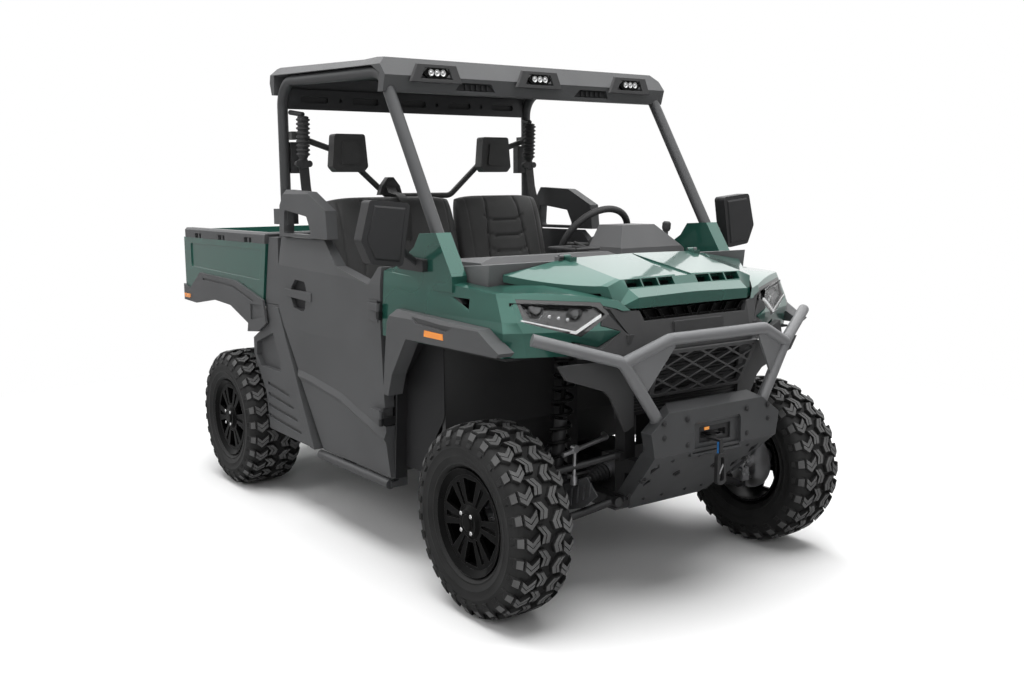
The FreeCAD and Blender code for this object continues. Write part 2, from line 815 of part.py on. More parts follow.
def headrests():
    """Two pads on a bar that dips between the rear pillars, with end brackets cut round the cage tubes."""
    bar_x = fx(rear_pillar_x + 40)
    bar_z = (headrest_low + headrest_top) / 2
    front = bar_x + 20
    pad = [(headrest_y - headrest_half, headrest_low + 24), (headrest_y - headrest_half + 22, headrest_low),
           (headrest_y + headrest_half - 22, headrest_low), (headrest_y + headrest_half, headrest_low + 24),
           (headrest_y + headrest_half - 14, headrest_top), (headrest_y - headrest_half + 14, headrest_top)]
    boss = [(headrest_y - 52, headrest_low + 34), (headrest_y + 52, headrest_low + 34),
            (headrest_y + 40, headrest_top - 34), (headrest_y - 40, headrest_top - 34)]
    rests = both_sides(along(pad, front, front + headrest_depth, 14))
    rests += both_sides(along(boss, front + headrest_depth - 1, front + headrest_depth + 8, 8))
    inner = cage_half_width - cage_tube / 2 - weld_gap
    end_z = bar_z + 80
    dip_z = bar_z - rest_bar_dip
    bar = tube([vec(bar_x, -inner, end_z), vec(bar_x, -headrest_y, bar_z), vec(bar_x, -180, dip_z),
                vec(bar_x, 180, dip_z), vec(bar_x, headrest_y, bar_z), vec(bar_x, inner, end_z)], rest_bar,
                60)
    stems = both_sides(rod(vec(bar_x, headrest_y, bar_z - 3), vec(front, headrest_y, bar_z - 3), 18))
    plates = both_sides(block(fx(rear_pillar_x) - 10, bar_x + 14, inner - 30, inner + 10, end_z - 20,
                              end_z + 15))
    clearance = Part.makeCompound(both_sides(side_hoop(cage_tube + 2 * weld_gap)))
    save("headrests", largest(bar.fuse(stems + rests + plates).cut(clearance)))


def steering_axis():
    """Unit vector from the dash along the column towards the driver."""
    rake = math.radians(steering_rake_deg)
    return vec(-math.sin(rake), 0, math.cos(rake))


def steering_centre():
    return vec(fx(steering_wheel_x), steering_wheel_y, steering_wheel_z)


def column(radius):
    axis = steering_axis()
    return rod(steering_centre() - axis * (hub_length + joint_fit),
               steering_centre() - axis * column_length, radius)


def hood_hinge_axis(y):
    return vec(fx(hood_rear), y, hood_centre_z + 1)


def dashboard():
    rear, front = fx(dash_rear), fx(dash_front)
    half = cabin_half_width - 10
    body = across([(front, dash_top + 15), (rear + 60, dash_top - 25), (rear, dash_top - 90),
                   (rear + 60, dash_bottom),
                   (fx(firewall_x), dash_bottom), (fx(firewall_x), fender_bottom + 5), (front - 20, 1060)],
                   -half, half)
    bar_rear, bar_front = fx(cowl_bar_x) - 5, fx(cowl_bar_x) + cowl_bar_size + 5
    bar = block(bar_rear, bar_front, -body_half_width, body_half_width, cowl_bar_z - weld_gap,
                cowl_bar_z + cowl_bar_size + weld_gap)
    legs = both_sides(block(bar_rear, bar_front, rail_y - 30, rail_y + 30, 800, cowl_bar_z))
    pod_low, pod_top = dash_top - 50, dash_top + 120
    pod = along([(205, pod_low), (205, dash_top + 30), (252, pod_top), (432, pod_top),
                 (half - 80, dash_top + 15),
                 (half - 80, pod_low)], fx(-540), fx(-330))
    cowl = across([(fx(-540), pod_low), (fx(-520), pod_top), (fx(-372), pod_top), (fx(-318), dash_top),
                   (fx(-318), pod_low)], 190, 590)
    shelf = along([(90 - half, dash_top - 60), (90 - half, dash_top + 8), (150 - half, dash_top + 26),
                   (60, dash_top + 26),
                   (110, dash_top + 8), (110, dash_top - 60)], fx(-500), fx(-200))
    slope = across([(fx(-500), dash_top - 60), (fx(-470), dash_top + 12), (fx(-250), dash_top + 26),
                    (fx(-200), dash_top - 60)], -600, 600)
    solid = body.fuse([pod.common(cowl), shelf.common(slope)])
    solid = solid.cut(column(column_radius + weld_gap)).cut(bar).cut(Part.makeCompound(legs))
    ears = []
    half_pin = hood_hinge_width / 2
    for y in (hood_hinge_y + 31, -hood_hinge_y - 50):
        pivot = hood_hinge_axis(y)
        ear = block(front - 15, pivot.x, y, y + 19, dash_top, pivot.z)
        ears.append(ear.fuse(rod(pivot, pivot + vec(0, 19, 0), hinge_barrel)))
    pins = [rod(hood_hinge_axis(side * (hood_hinge_y + 2)),
                hood_hinge_axis(side * (hood_hinge_y + 3 * half_pin)),
                hinge_pin) for side in (-1, 1)]
    save("dashboard", solid.fuse(ears + pins))


def steering_controls():
    centre, axis = steering_centre(), steering_axis()
    ring = Part.makeTorus(steering_wheel_radius, steering_wheel_rim, centre, axis)
    hub = rod(centre - axis * hub_length, centre - axis * 4, steering_hub)
    down = axis.cross(vec(0, 1, 0))
    spokes = [rod(centre - axis * 18, centre + direction * steering_wheel_radius, 9)
              for direction in (vec(0, 1, 0), vec(0, -1, 0), down)]
    save("steering_wheel", ring.fuse([hub, *spokes]))
    save("steering_column", column(column_radius))


def side_hoop(diameter):
    """The left side hoop of the cage, from the cowl bar over the roof line down to the frame."""
    y = cage_half_width
    slope = (pillar_foot_x - pillar_top_x) / (roof_rail_z - cowl_bar_z)
    foot = vec(fx(pillar_foot_x) + 60 * slope, y, cowl_bar_z - 60)
    route = [foot, vec(fx(pillar_top_x), y, roof_rail_z), vec(fx(rear_pillar_x), y,
                                                              roof_rail_z + roof_rise),
             vec(fx(rear_pillar_x), y, floor_z)]
    bar_top = cowl_bar_z + cowl_bar_size + weld_gap
    below = block(fx(pillar_foot_x) - 200, fx(pillar_foot_x) + 200, y - 50, y + 50, 0, bar_top)
    return tube(route, diameter, cage_bend).cut(below)


def rear_beam(inner):
    """The pierced beam between the rear pillars, under the roof's rear edge."""
    top = roof_rail_z + roof_rise - beam_drop
    x = fx(rear_pillar_x) - beam_thickness / 2
    beam = block(x, x + beam_thickness, -inner, inner, top - beam_height, top)
    middle = top - beam_height / 2
    pitch = 2 * inner / 5
    cuts = []
    for i in range(5):
        y = (i - 2) * pitch
        slot = [(y - 70, middle - 14), (y + 70, middle - 14), (y + 70, middle + 14), (y - 70, middle + 14)]
        cuts.append(along(slot, x - 1, x + beam_thickness + 1, 12))
    for i in range(4):
        y = (i - 1.5) * pitch
        cuts.append(rod(vec(x - 1, y, middle), vec(x + beam_thickness + 1, y, middle), 9))
    return beam.cut(Part.makeCompound(cuts))


def cage():
    hoop = side_hoop(cage_tube)
    save("roll_cage_left", hoop)
    save("roll_cage_right", mirrored(hoop))
    inner = cage_half_width - cage_tube / 2 - weld_gap
    front = vec(fx(pillar_top_x - 100), inner, roof_rail_z)
    low = vec(fx(rear_pillar_x), inner, lower_beam_z)
    bars = [rod(vec(end.x, -end.y, end.z), end, cross_tube / 2) for end in (front, low)]
    save("roll_cage_cross", bars[0], rear_beam(inner), bars[1])


def lamp_pod(y, grow):
    """Front-view outline of a six-sided roof lamp."""
    half, tall = roof_lamp_half + grow, roof_lamp_half_height + grow
    z = roof_rail_z - 6
    return [(y - half, z), (y - half + 24, z - tall), (y + half - 24, z - tall), (y + half, z),
            (y + half - 24, z + tall), (y - half + 24, z + tall)]


def roof():
    """A moulded roof with a lowered visor, chamfered sides and ribs, and three lamps let into the visor."""
    under = roof_rail_z + cage_tube / 2 + weld_gap
    top, low = roof_rail_z + roof_crown, roof_rail_z - visor_drop
    front, rear = fx(roof_front), fx(roof_rear)
    rear_under = under + roof_rise
    half = cage_half_width + roof_overlap
    shell = across([(rear + 4, rear_under - 84), (rear - 14, rear_under - 30), (rear, top + 30),
                    (rear + 70, top + 44),
                    (front - 210, top), (front - 60, top - 14), (front, low + 60), (front - 18, low),
                    (front - 18 - visor_wall, low), (front - visor_wall, low + 70),
                    (fx(pillar_top_x) - 30, under),
                    (fx(rear_pillar_x) - 8, rear_under), (fx(rear_pillar_x) - 8, rear_under - 84)], -half,
                    half)
    edge = half - roof_chamfer
    envelope = arch_loft((
        (roof_front + 30, [(half, low - 5), (half, top - 46), (edge, top - 8), (edge - 80, top + 4)]),
        (roof_front - 230, [(half, low - 5), (half, top - 36), (edge, top - 8), (edge - 80, top + 4)]),
        (roof_rear - 70, [(half, low - 5), (half, top + 4), (edge, top + 40), (edge - 80, top + 50)])))
    shell = shell.common(envelope)
    ribs = [across([(rear + 80, top - 20), (rear + 80, top + 43 + roof_rib),
                    (front - 230, top + 1 + roof_rib),
                    (front - 250, top - 20)], y - 34, y + 34) for y in (-390, -130, 130, 390)]
    hoops = Part.makeCompound(both_sides(side_hoop(cage_tube + 2 * weld_gap)))
    vents = []
    for side in (-1, 1):
        vent = [(side * 206, low + 14), (side * 398, low + 14), (side * 380, low + 44),
                (side * 232, low + 44)]
        vents.append(along(vent, front - 24, front + 30))
    places = (-roof_lamp_y, 0, roof_lamp_y)
    sockets = [along(lamp_pod(y, weld_gap), front - 22, front + 60) for y in places]
    solid = shell.fuse(ribs).cut(hoops).cut(Part.makeCompound(vents + sockets))
    save("roof", largest(solid))
    save("roof_lamps", *[along(lamp_pod(y, 0), front - 22 + weld_gap,
                               front + roof_lamp_proud) for y in places])


def hood_plan(gap):
    """Plan of the hood, grown by a gap, as (x, y) points of the whole width."""
    left = [(fx(hood_front) + gap, 272 + gap), (fx(244) + gap, 334 + gap), (fx(190), 392 + gap),
            (fx(hood_rear) - gap, hood_rear_half + gap)]
    return left + [(x, -y) for x, y in reversed(left)]


def nose():
    """The front body's outer volume: a swept plan with a ledge under the lamps, cut to a crowned top."""
    rear = fender_rear
    side = body_half_width
    sides = plan_loft((
        (905.0, [(262, 300), (236, 420), (138, side - 100), (96, side - 28), (rear, side)]),
        (1005.0, [(292, 300), (262, 405), (150, side - 76), (112, side - 20), (rear, side)]),
        (1040.0, [(285, 300), (250, 402), (134, side - 64), (98, side - 26), (rear, side - 2)]),
        (1120.0, [(262, 290), (228, 392), (98, side - 72), (58, side - 34), (rear, side - 6)]),
        (1260.0, [(225, 280), (180, 385), (40, side - 90), (0, side - 45), (rear, side - 20)])))
    top = arch_loft((
        (fender_rear - 10, [(side + 50, 700), (side + 50, 1150), (side - 40, 1182), (385, 1190)]),
        (60, [(side + 50, 700), (side + 50, 1110), (side - 50, 1136), (385, 1160)]),
        (340, [(side + 50, 700), (side + 50, 1085), (side - 80, 1112), (340, 1075)])))
    return sides.common(top)


def fascia_outline():
    """Front view of the grey fascia as (y, z) points, from the hood's lip down to the bull bar."""
    left = [(330, 1064), (345, 1072), (420, 1090), (401, 1058), (414, 1022), (340, 998), (422, 946),
            (505, 968),
            (505, 915)]
    return left + [(-y, z) for y, z in reversed(left)]


def flare_outline():
    """Side view of the trim over the front wheel arch."""
    return stations([(-600, 700), (-583, 830), (-560, 985), (-543, 1010), (-515, 1037), (40, 1016),
                     (110, 975),
                     (165, 948), (150, 934), (-424, 934), (-531, 785), (-562, 700)])


def sleeve_outline():
    """Side view of the painted web that wraps the foot of the front pillar."""
    return stations([(-600, 1120), (-600, 1180), (-520, 1223), (-440, 1270), (-400, 1322), (-287, 1327),
                     (-187, 1176),
                     (-187, 1120)])


def lamp_outline(grow):
    """Front view of the left headlight, grown by a gap."""
    outer = body_half_width - lamp_inset + grow
    return [(outer, 1115 + grow), (428 - grow, 1097 + grow), (lamp_tip_y - grow, 1058), (495, 986 - grow),
            (outer - 21, 1040 - grow)]


def lamp_sweep(grow, depth):
    """The left headlight's outline on the swept corner, carried inwards from ahead of the skin."""
    face = [vec(fx(306) - (y - lamp_tip_y) * lamp_rake, y, z) for y, z in lamp_outline(grow)]
    return prism(face, vec(-depth, -lamp_rake * depth, 0))


def fender(skin):
    """The left painted fender: a hollowed skin with its openings cut and the pillar's sleeve added."""
    side = fender_thickness
    rear = fx(fender_rear) - 10
    wall = body_half_width - side
    hollow = upward([(fx(215), 0), (fx(210), 350), (fx(80), wall - 70), (fx(60), wall - 30), (rear, wall),
                     (rear, 0)],
                    880, 1105)
    cowl = block(rear, fx(dash_front) + 8, -1, cabin_half_width, 880, 1300)
    opening = upward(hood_plan(shut_gap), 800, 1400)
    keep = block(fx(fender_rear), fx(400), 300, 900, fender_bottom, 1300)
    shape = skin.common(keep).cut(hollow).cut(cowl).cut(opening)
    shape = shape.cut(along(fascia_outline(), fx(0), fx(400), grow=seam))
    reach = cage_tube / 2 + sleeve_wall
    web = across(sleeve_outline(), cage_half_width - reach, cage_half_width + reach)
    shape = shape.fuse(web)
    shape = shape.cut(across(flare_outline(), flare_inner, flare_outer, grow=weld_gap))
    bar_end = cage_half_width + outrigger_half + weld_gap
    bar = block(fx(cowl_bar_x) - weld_gap, fx(cowl_bar_x) + cowl_bar_size + weld_gap, 0, bar_end,
                cowl_bar_z - part_gap, cowl_bar_z + cowl_bar_size + weld_gap)
    foot_half = cage_tube / 2 + 3
    foot = block(fx(pillar_foot_x) - 75, fx(pillar_foot_x) + 60, cage_half_width - foot_half,
                 cage_half_width + foot_half, 900, 1105)
    shape = shape.cut(Part.makeCompound([bar, foot, side_hoop(cage_tube + 2 * weld_gap)]))
    return largest(shape)


def headlight(skin):
    """The left lamp: a housing flush with the skin, its lens let in, with two projectors and a light bar."""
    body = largest(skin.common(lamp_sweep(0, lamp_depth)))
    inside = skin.common(lamp_sweep(-14, lamp_depth))
    inside.translate(vec(lamp_recess, lamp_rake * lamp_recess, 0))
    floor = skin.copy()
    floor.translate(vec(-lamp_recess, -lamp_rake * lamp_recess, 0))
    body = body.cut(inside.cut(floor))
    heading = vec(1, lamp_rake, 0).normalize()
    projectors = []
    for y, z in ((body_half_width - 130, 1077), (487, 1060)):
        surface = vec(fx(246) - (y - lamp_tip_y) * lamp_rake, y, z)
        projectors.append(rod(surface - heading * 50, surface - heading * 8, 26))
        projectors.append(Part.makeSphere(24, surface - heading * 22))
    lit = body.fuse([solid.common(skin) for solid in projectors])
    return largest(lit)


def hood():
    """The hinged hood: plateau and side slopes, a steep slotted brow with a centre notch, and a painted lip."""
    drop = hood_thickness
    crest = hood_centre_z
    flank = hood_rear_half + 20
    rings = []
    for station, ridge, under in (
            (hood_rear, [(flank, crest - 53), (320, crest - 6), (30, crest)], None),
            (205, [(flank, 1072), (305, 1172), (30, 1177)], None),
            (222, [(flank, 1052), (299, 1168), (30, 1173)], hood_lip_z),
            (243, [(flank, 745), (279, 1135), (30, 1140)], hood_lip_z),
            (hood_front + 8, [(flank, 700), (270, 1104), (30, 1109)], hood_lip_z)):
        over = ridge + [(-y, z) for y, z in reversed(ridge)]
        below = [(y, min(z - drop, under) if under else z - drop) for y, z in reversed(over)]
        rings.append([vec(fx(station), y, z) for y, z in over + below])
    lid = loft(rings).common(upward(hood_plan(0), hood_lip_z, 1400))
    bay = (slot_outer - slot_inner) / slot_bays
    cuts = []
    for side in (-1, 1):
        for i in range(slot_bays):
            y0 = slot_inner + i * bay + slot_rib / 2
            y1 = slot_inner + (i + 1) * bay - slot_rib / 2
            low, high = sorted((side * y0, side * y1))
            cuts.append(block(fx(slot_back), fx(260), low, high, slot_bottom, slot_top))
    trough_plan = upward([(fx(-40), -4), (fx(250), -trough_half), (fx(250), trough_half), (fx(-40), 4)],
                         1100, 1300)
    trough_side = across(stations([(-60, crest - trough_depth), (222, 1173 - trough_depth),
                                   (262, 1173 - trough_depth),
                                   (262, 1290), (-60, 1290)]), -60, 60)
    cuts.append(trough_plan.common(trough_side))
    axis_z = hood_centre_z + 1
    for side in (-1, 1):
        y = side * (hood_hinge_y + 41)
        cuts.append(block(fx(hood_rear) - 20, fx(hood_rear) + 12, y - 15, y + 15, axis_z - 56, axis_z + 24))
    bore_end = hood_hinge_y + 60
    cuts.append(rod(hood_hinge_axis(-bore_end), hood_hinge_axis(bore_end), hinge_pin + joint_fit))
    barrels = []
    for y in (hood_hinge_y, -hood_hinge_y - hood_hinge_width):
        pivot = hood_hinge_axis(y)
        barrel = rod(pivot, pivot + vec(0, hood_hinge_width, 0), hinge_barrel)
        tongue = block(pivot.x, pivot.x + 40, y, y + hood_hinge_width, axis_z - 31, axis_z - 1)
        bore = rod(pivot - vec(0, 5, 0), pivot + vec(0, hood_hinge_width + 5, 0), hinge_pin + joint_fit)
        barrels.append(barrel.fuse(tongue).cut(bore))
    return lid.cut(Part.makeCompound(cuts)).fuse(barrels)


def fascia():
    """The grey front panel: a bent wall with the grille's opening, a shelf on the towers and two low wings."""
    outer = plan_loft(((900.0, [(322, 262), (294, 340), (262, 520), (-60, 520)]),
                       (1105.0, [(277, 272), (247, 345), (222, 520), (-60, 520)])))
    inner = outer.copy()
    inner.translate(vec(-fascia_wall, 0, 0))
    wall = outer.common(along(fascia_outline(), fx(-60), fx(400))).cut(inner)
    wall = wall.cut(upward(hood_plan(shut_gap), hood_lip_z - shut_gap, 1300))
    low = front_tower_top + tower_plate + weld_gap
    shelf = block(fx(-100), fx(292), -326, 326, low, low + fascia_shelf)
    grille_hole = along([(-272, 1070), (-252, grille_low), (252, grille_low), (272, 1070)], fx(240),
                        fx(340))
    plate = along([(-122, 975), (122, 975), (122, 1018), (-122, 1018)], fx(290), fx(309), 4)
    tip = hood_rear_half
    wing = along([(tip, 900), (326, 900), (326, 940), (270, 940), (262, 655), (300, 640), (372, 770),
                  (400, 795),
                  (tip - 34, 850)], fx(245), fx(257))
    wing_root = block(fx(245), fx(275), 270, 326, 920, low + 5)
    groove = along([(396, 1076), (372, 1074), (312, 981), (329, 998)], fx(200), fx(400))
    wings = both_sides(wing) + both_sides(wing_root)
    ledge = block(fx(280), fx(352), -230, 230, lower_grille_top + weld_gap, lower_grille_top + 12)
    solid = wall.fuse([shelf, plate, ledge] + wings).cut(grille_hole)
    solid = solid.cut(Part.makeCompound(both_sides(lamp_sweep(weld_gap, lamp_depth))))
    shallow = outer.copy()
    shallow.translate(vec(-10, 0, 0))
    solid = solid.cut(Part.makeCompound([g.cut(shallow) for g in both_sides(groove)]))
    save("front_fascia", largest(solid))
    back = fx(252)
    slats = [along([(-271, grille_low + weld_gap), (271, grille_low + weld_gap), (271, grille_low + 8),
                    (-271, grille_low + 8)], back, back + 24)]
    backing = along([(-270, grille_low + weld_gap), (270, grille_low + weld_gap), (270, 1062),
                     (-270, 1062)],
                    back, back + 8)
    for side in (-1, 1):
        for i in range(grille_slats_a_side):
            top, foot = side * (32 + 72 * i), side * (16 + 68 * i)
            slats.append(along([(foot, grille_low + 1), (foot + grille_slat, grille_low + 1),
                                (top + grille_slat, 1062), (top, 1062)], back + 7, back + 26))
    window = along([(-270, grille_low + weld_gap), (-251, grille_low + weld_gap),
                    (251, grille_low + weld_gap),
                    (270, grille_low + weld_gap), (270, 1062), (-270, 1062)], fx(200), fx(340))
    clip = outer.copy()
    clip.translate(vec(-4, 0, 0))
    hollow = along([(-271 + weld_gap, 1062.5), (-251.5, grille_low + weld_gap),
                    (251.5, grille_low + weld_gap),
                    (271 - weld_gap, 1062.5)], fx(200), fx(340))
    grille = backing.fuse(slats).common(window).common(clip).common(hollow)
    save("upper_grille", largest(grille))


def lower_grille():
    """A sloping frame filled with crossing bars, behind the bull bar."""
    slope = 70 / 185
    direction = vec(mesh_thickness, 0, -slope * mesh_thickness)

    def panel(half_top, half_low, top, low, grow):
        ring = [vec(fx(346.4 - (930 - z) * slope), y, z) for y, z in
                ((-half_top, top), (half_top, top), (half_low, low), (-half_low, low))]
        return prism([point - direction * grow for point in ring], direction * (1 + 2 * grow))

    top, low, half = lower_grille_top, lower_grille_low, lower_grille_half
    solid = panel(half, half - 21, top, low, 0)
    width = 2 * half / mesh_columns
    height = (top - low) / mesh_rows
    inset = mesh_bar / 2
    clip = panel(half - 14, half - 36, top - 12, low + 12, 1)
    holes = []
    for row in range(-1, 2 * mesh_rows + 1):
        for column_index in range(-1, mesh_columns + 1):
            shift = width / 2 if row % 2 else 0
            y = -half + width / 2 + column_index * width + shift
            z = low + (row + 1) * height / 2
            points = [vec(fx(346.4 - (930 - z - dz) * slope), y + dy, z + dz) for dy, dz in
                      ((-width / 2 + inset * 1.8, 0), (0, -height / 2 + inset),
                       (width / 2 - inset * 1.8, 0),
                       (0, height / 2 - inset))]
            hole = prism([point - direction for point in points], direction * 3).common(clip)
            if hole.Solids:
                holes.append(hole)
    save("lower_grille", largest(solid.cut(Part.makeCompound(holes))))


def wheel_liners():
    arch = stations([(-640, 345), (-606, 771), (-462, fender_bottom - weld_gap),
                     (120, fender_bottom - weld_gap)])
    inner = [(x + (liner_thickness if i < 3 else 0), z - (liner_thickness if i > 1 else 0))
             for i, (x, z) in enumerate(arch)]
    lip_y = flare_inner - weld_gap
    liner = across(arch + list(reversed(inner)), tower_outer_y + weld_gap, lip_y)
    cabin_side = block(fx(-700), fx(firewall_x) + weld_gap, 0, cabin_half_width + weld_gap, 300, 1000)
    save("wheel_liners", *both_sides(liner.cut(cabin_side)))


def fender_flares():
    """Dark trim over the front arches, with a long slot and a marker lamp's seat."""
    flare = across(flare_outline(), flare_inner, flare_outer)
    slot = across(stations([(-388, 1020), (-110, 1006), (-146, 991), (-347, 999)]), flare_outer - 8,
                  flare_outer + 5)
    lamp = across(stations([(-294, 958), (-166, 957), (-168, 979), (-290, 981)]), flare_outer - 5,
                  flare_outer + 5)
    chamfer = along([(flare_outer - 22, 1040), (flare_outer + 5, 1040), (flare_outer + 5, 1004)], fx(-700),
                    fx(300))
    save("fender_flares", *both_sides(flare.cut(Part.makeCompound([slot, lamp, chamfer]))))


def front_body():
    skin = nose()
    painted = fender(skin)
    lamp = headlight(skin)
    painted = largest(painted.cut(lamp_sweep(weld_gap, lamp_depth)))
    save("front_fenders", *both_sides(painted))
    save("headlights", *both_sides(lamp))
    save("hood", hood())
    fascia()
    lower_grille()
    wheel_liners()
    fender_flares()


def bar_side(diameter):
    """The left leg of the bull bar: from the frame horn up behind the plate, out to the lamp's corner."""
    route = [vec(fx(312), rail_y, horn_z), vec(fx(371), 268, 705), vec(fx(357), 409, 909),
             vec(fx(220), body_half_width - 58, 993)]
    leg = tube(route, diameter, bar_bend)
    return leg.cut(block(fx(200), fx(500), 0, tower_outer_y, 0, horn_z + tower_post + weld_gap))


def bull_bar():
    side = bar_side(bar_tube)
    elbow, joint = vec(fx(358), 404, 906), vec(fx(399), 236, 975)
    crown = tube([elbow, joint, vec(joint.x, -joint.y, joint.z), vec(elbow.x, -elbow.y, elbow.z)], bar_tube,
                 bar_bend)
    corner = [elbow, vec(fx(397), 215, 965), vec(fx(395), 208, 940), vec(fx(366), 322, 783)]
    normal = (corner[1] - corner[0]).cross(corner[3] - corner[0]).normalize() * gusset_thickness
    flat = [corner[0], corner[1],
            corner[0] + (corner[1] - corner[0]) * 0.98 + (corner[3] - corner[0]) * 0.12, corner[3]]
    gusset = prism([point - normal * 0.5 for point in flat], normal)
    back = fx(plate_nose) - plate_gauge - weld_gap
    bracket = block(fx(330), back, rail_y + 6, rail_y + 34, 590, 618)
    save("bull_bar", crown.fuse([side, mirrored(side), *both_sides(gusset), *both_sides(bracket)]))


def plate_front(depth, half):
    """Everything ahead of the bumper plate's lower slope, from a depth behind its outer face."""
    back = depth * math.hypot(plate_nose - plate_foot_x,
                              plate_knee_z - plate_foot_z) / (plate_knee_z - plate_foot_z)
    foot, knee = fx(plate_foot_x) - back, fx(plate_nose) - back
    return across([(foot, plate_foot_z), (knee, plate_knee_z), (knee + 300, plate_knee_z),
                   (knee + 300, plate_foot_z)],
                  -half, half)


def plate_outline(inset):
    """Front view of the folded bumper plate, drawn in by an inset."""
    left = [(205 - inset * 0.6, 745 - inset), (322 - inset, 660 - inset * 0.2), (306 - inset, 575),
            (240 - inset, 385), (182 - inset, 317 + inset)]
    return left + [(-y, z) for y, z in reversed(left)]


def bumper_plate():
    """A folded steel plate: brow, face, long lower slope and side flanges, with the winch's window and pan."""
    face = fx(plate_nose)
    depth = plate_flange
    foot = fx(plate_foot_x)
    outer = across([(face - 54, 745), (face - 7, 722), (face, 640), (face, plate_knee_z),
                    (foot, plate_foot_z),
                    (foot - depth * 0.7, plate_foot_z + depth * 0.7), (face - depth, 596),
                    (face - 54, 700)], -400, 400)
    shell = outer.common(along(plate_outline(0), fx(50), fx(500)))
    gauge = plate_gauge
    slope_gauge = gauge * 0.7
    behind = across([(face - 100, 736), (face - 60, 736), (face - 11, 713), (face - gauge, 640),
                     (face - gauge, 578),
                     (foot - slope_gauge, plate_foot_z + slope_gauge), (fx(0), 330), (fx(0), 736)], -400,
                     400)
    shell = shell.cut(behind.common(along(plate_outline(gauge), fx(-50), fx(500))))
    window = along([(-window_half, window_low), (window_half, window_low), (window_half, window_high),
                    (-window_half, window_high)], face - gauge - 1, face + 10, 14)
    rim_wall = window_half + gauge
    pan = block(face - gauge - pan_depth, face - gauge + 1, -rim_wall, rim_wall, window_low - gauge,
                window_high + gauge)
    floor = face - pan_depth
    hollow = block(floor, face + 1, -window_half, window_half, window_low, window_high)
    mouth = block(face - 60, floor + 1, -fairlead_half, fairlead_half, fairlead_low, fairlead_high)
    slope = (face - foot) / (plate_knee_z - plate_foot_z)
    holes = []
    for y, z, size in ((250, 520, 17), (222, 452, 14)):
        x = face - (plate_knee_z - z) * slope
        diamond = [(y, z - size * 1.4), (y + size, z - size * 0.2), (y + size * 0.2, z + size * 1.4),
                   (y - size, z + size * 0.2)]
        holes += both_sides(along(diamond, x - 40, x + 40))
    shell = shell.cut(window).fuse(pan.cut(hollow))
    legs = both_sides(bar_side(bar_tube + 2 * weld_gap))
    outer = rail_y + rail_width / 2 + weld_gap
    rail_ends = block(fx(50), fx(plate_nose), -1, outer, 300, horn_z).cut(plate_front(gauge, 400))
    save("bumper_plate",
         largest(shell.cut(Part.makeCompound(holes + legs + both_sides(rail_ends) + [mouth]))))


def winch():
    """The drum on its tray, a fairlead seated behind the plate's pan, and a hook on a short strap."""
    tray = horn_z + tray_thickness + weld_gap
    drum = rod(vec(fx(drum_x), -drum_half, tray + 55), vec(fx(drum_x), drum_half, tray + 55), drum_radius)
    ends = both_sides(block(fx(drum_x) - 45, fx(drum_x) + 45, drum_half, drum_half + 45, tray, tray + 105))
    seat_x = fx(plate_nose) - plate_gauge - pan_depth - weld_gap
    fairlead = block(seat_x - 14, seat_x, -fairlead_half - 5, fairlead_half + 5, fairlead_low - 14,
                     fairlead_high + 6)
    roller = block(seat_x - 15, seat_x + 1, -fairlead_half + 16, fairlead_half - 16, fairlead_low + 14,
                   fairlead_high - 20)
    guides = both_sides(block(fx(drum_x) + 30, seat_x - 13, 76, 100, tray + 75, tray + 104))
    tip = fx(front_overhang)
    link = along([(hook_y - hook_half, hook_low), (hook_y + hook_half, hook_low),
                  (hook_y + hook_half, hook_top),
                  (hook_y - hook_half, hook_top)], tip - 16, tip, 16)
    eye = along([(hook_y - 11, hook_low + 12), (hook_y + 11, hook_low + 12), (hook_y + 11, hook_top - 14),
                 (hook_y - 11, hook_top - 14)], tip - 17, tip + 1, 9)
    strap = block(tip - 12, tip - 4, hook_y - 8, hook_y + 8, hook_top - 16, fairlead_low + 16)
    lead = block(seat_x - 14, tip - 4, hook_y - 8, hook_y + 8, fairlead_low + 8, fairlead_low + 16)
    save("winch", drum.fuse([*ends, fairlead.cut(roller), *guides, link.cut(eye), strap, lead]))


def door_sections(outer, inner):
    """Door skin through its length: belt crease, waist crease and the raised ridge near the foot."""
    rings = []
    for station, belt, waist, ridge in ((-650, 1112, 975, 500), (-878, 1124, 885, 560),
                                        (-1035, 1130, 862, 606),
                                        (-1310, 1138, 861, 642), (-1640, 1148, 884, 668)):
        ring = [(inner - 5, 1300), (outer - 24, 1300), (outer - 2, belt), (outer, waist),
                (outer - 14, ridge + 26),
                (outer - 3, ridge), (outer - 13, ridge - 20), (outer - 34, 320), (inner - 5, 320)]
        rings.append([vec(fx(station), y, z) for y, z in ring])
    return loft(rings)


def door_handle(outer):
    """A long pull bar and the pocket behind it."""
    pocket = across(stations([(-1468, 1058), (-1432, 1089), (-1335, 1084), (-1319, 1045), (-1338, 959),
                              (-1371, 951),
                              (-1450, 961), (-1485, 1016)]), outer - handle_pocket, outer + 5)
    bar = across(stations([(-1533, 1010), (-1268, 1000), (-1264, 1040), (-1533, 1042)]), outer - 12,
                 outer + 4, 5)
    return pocket, bar


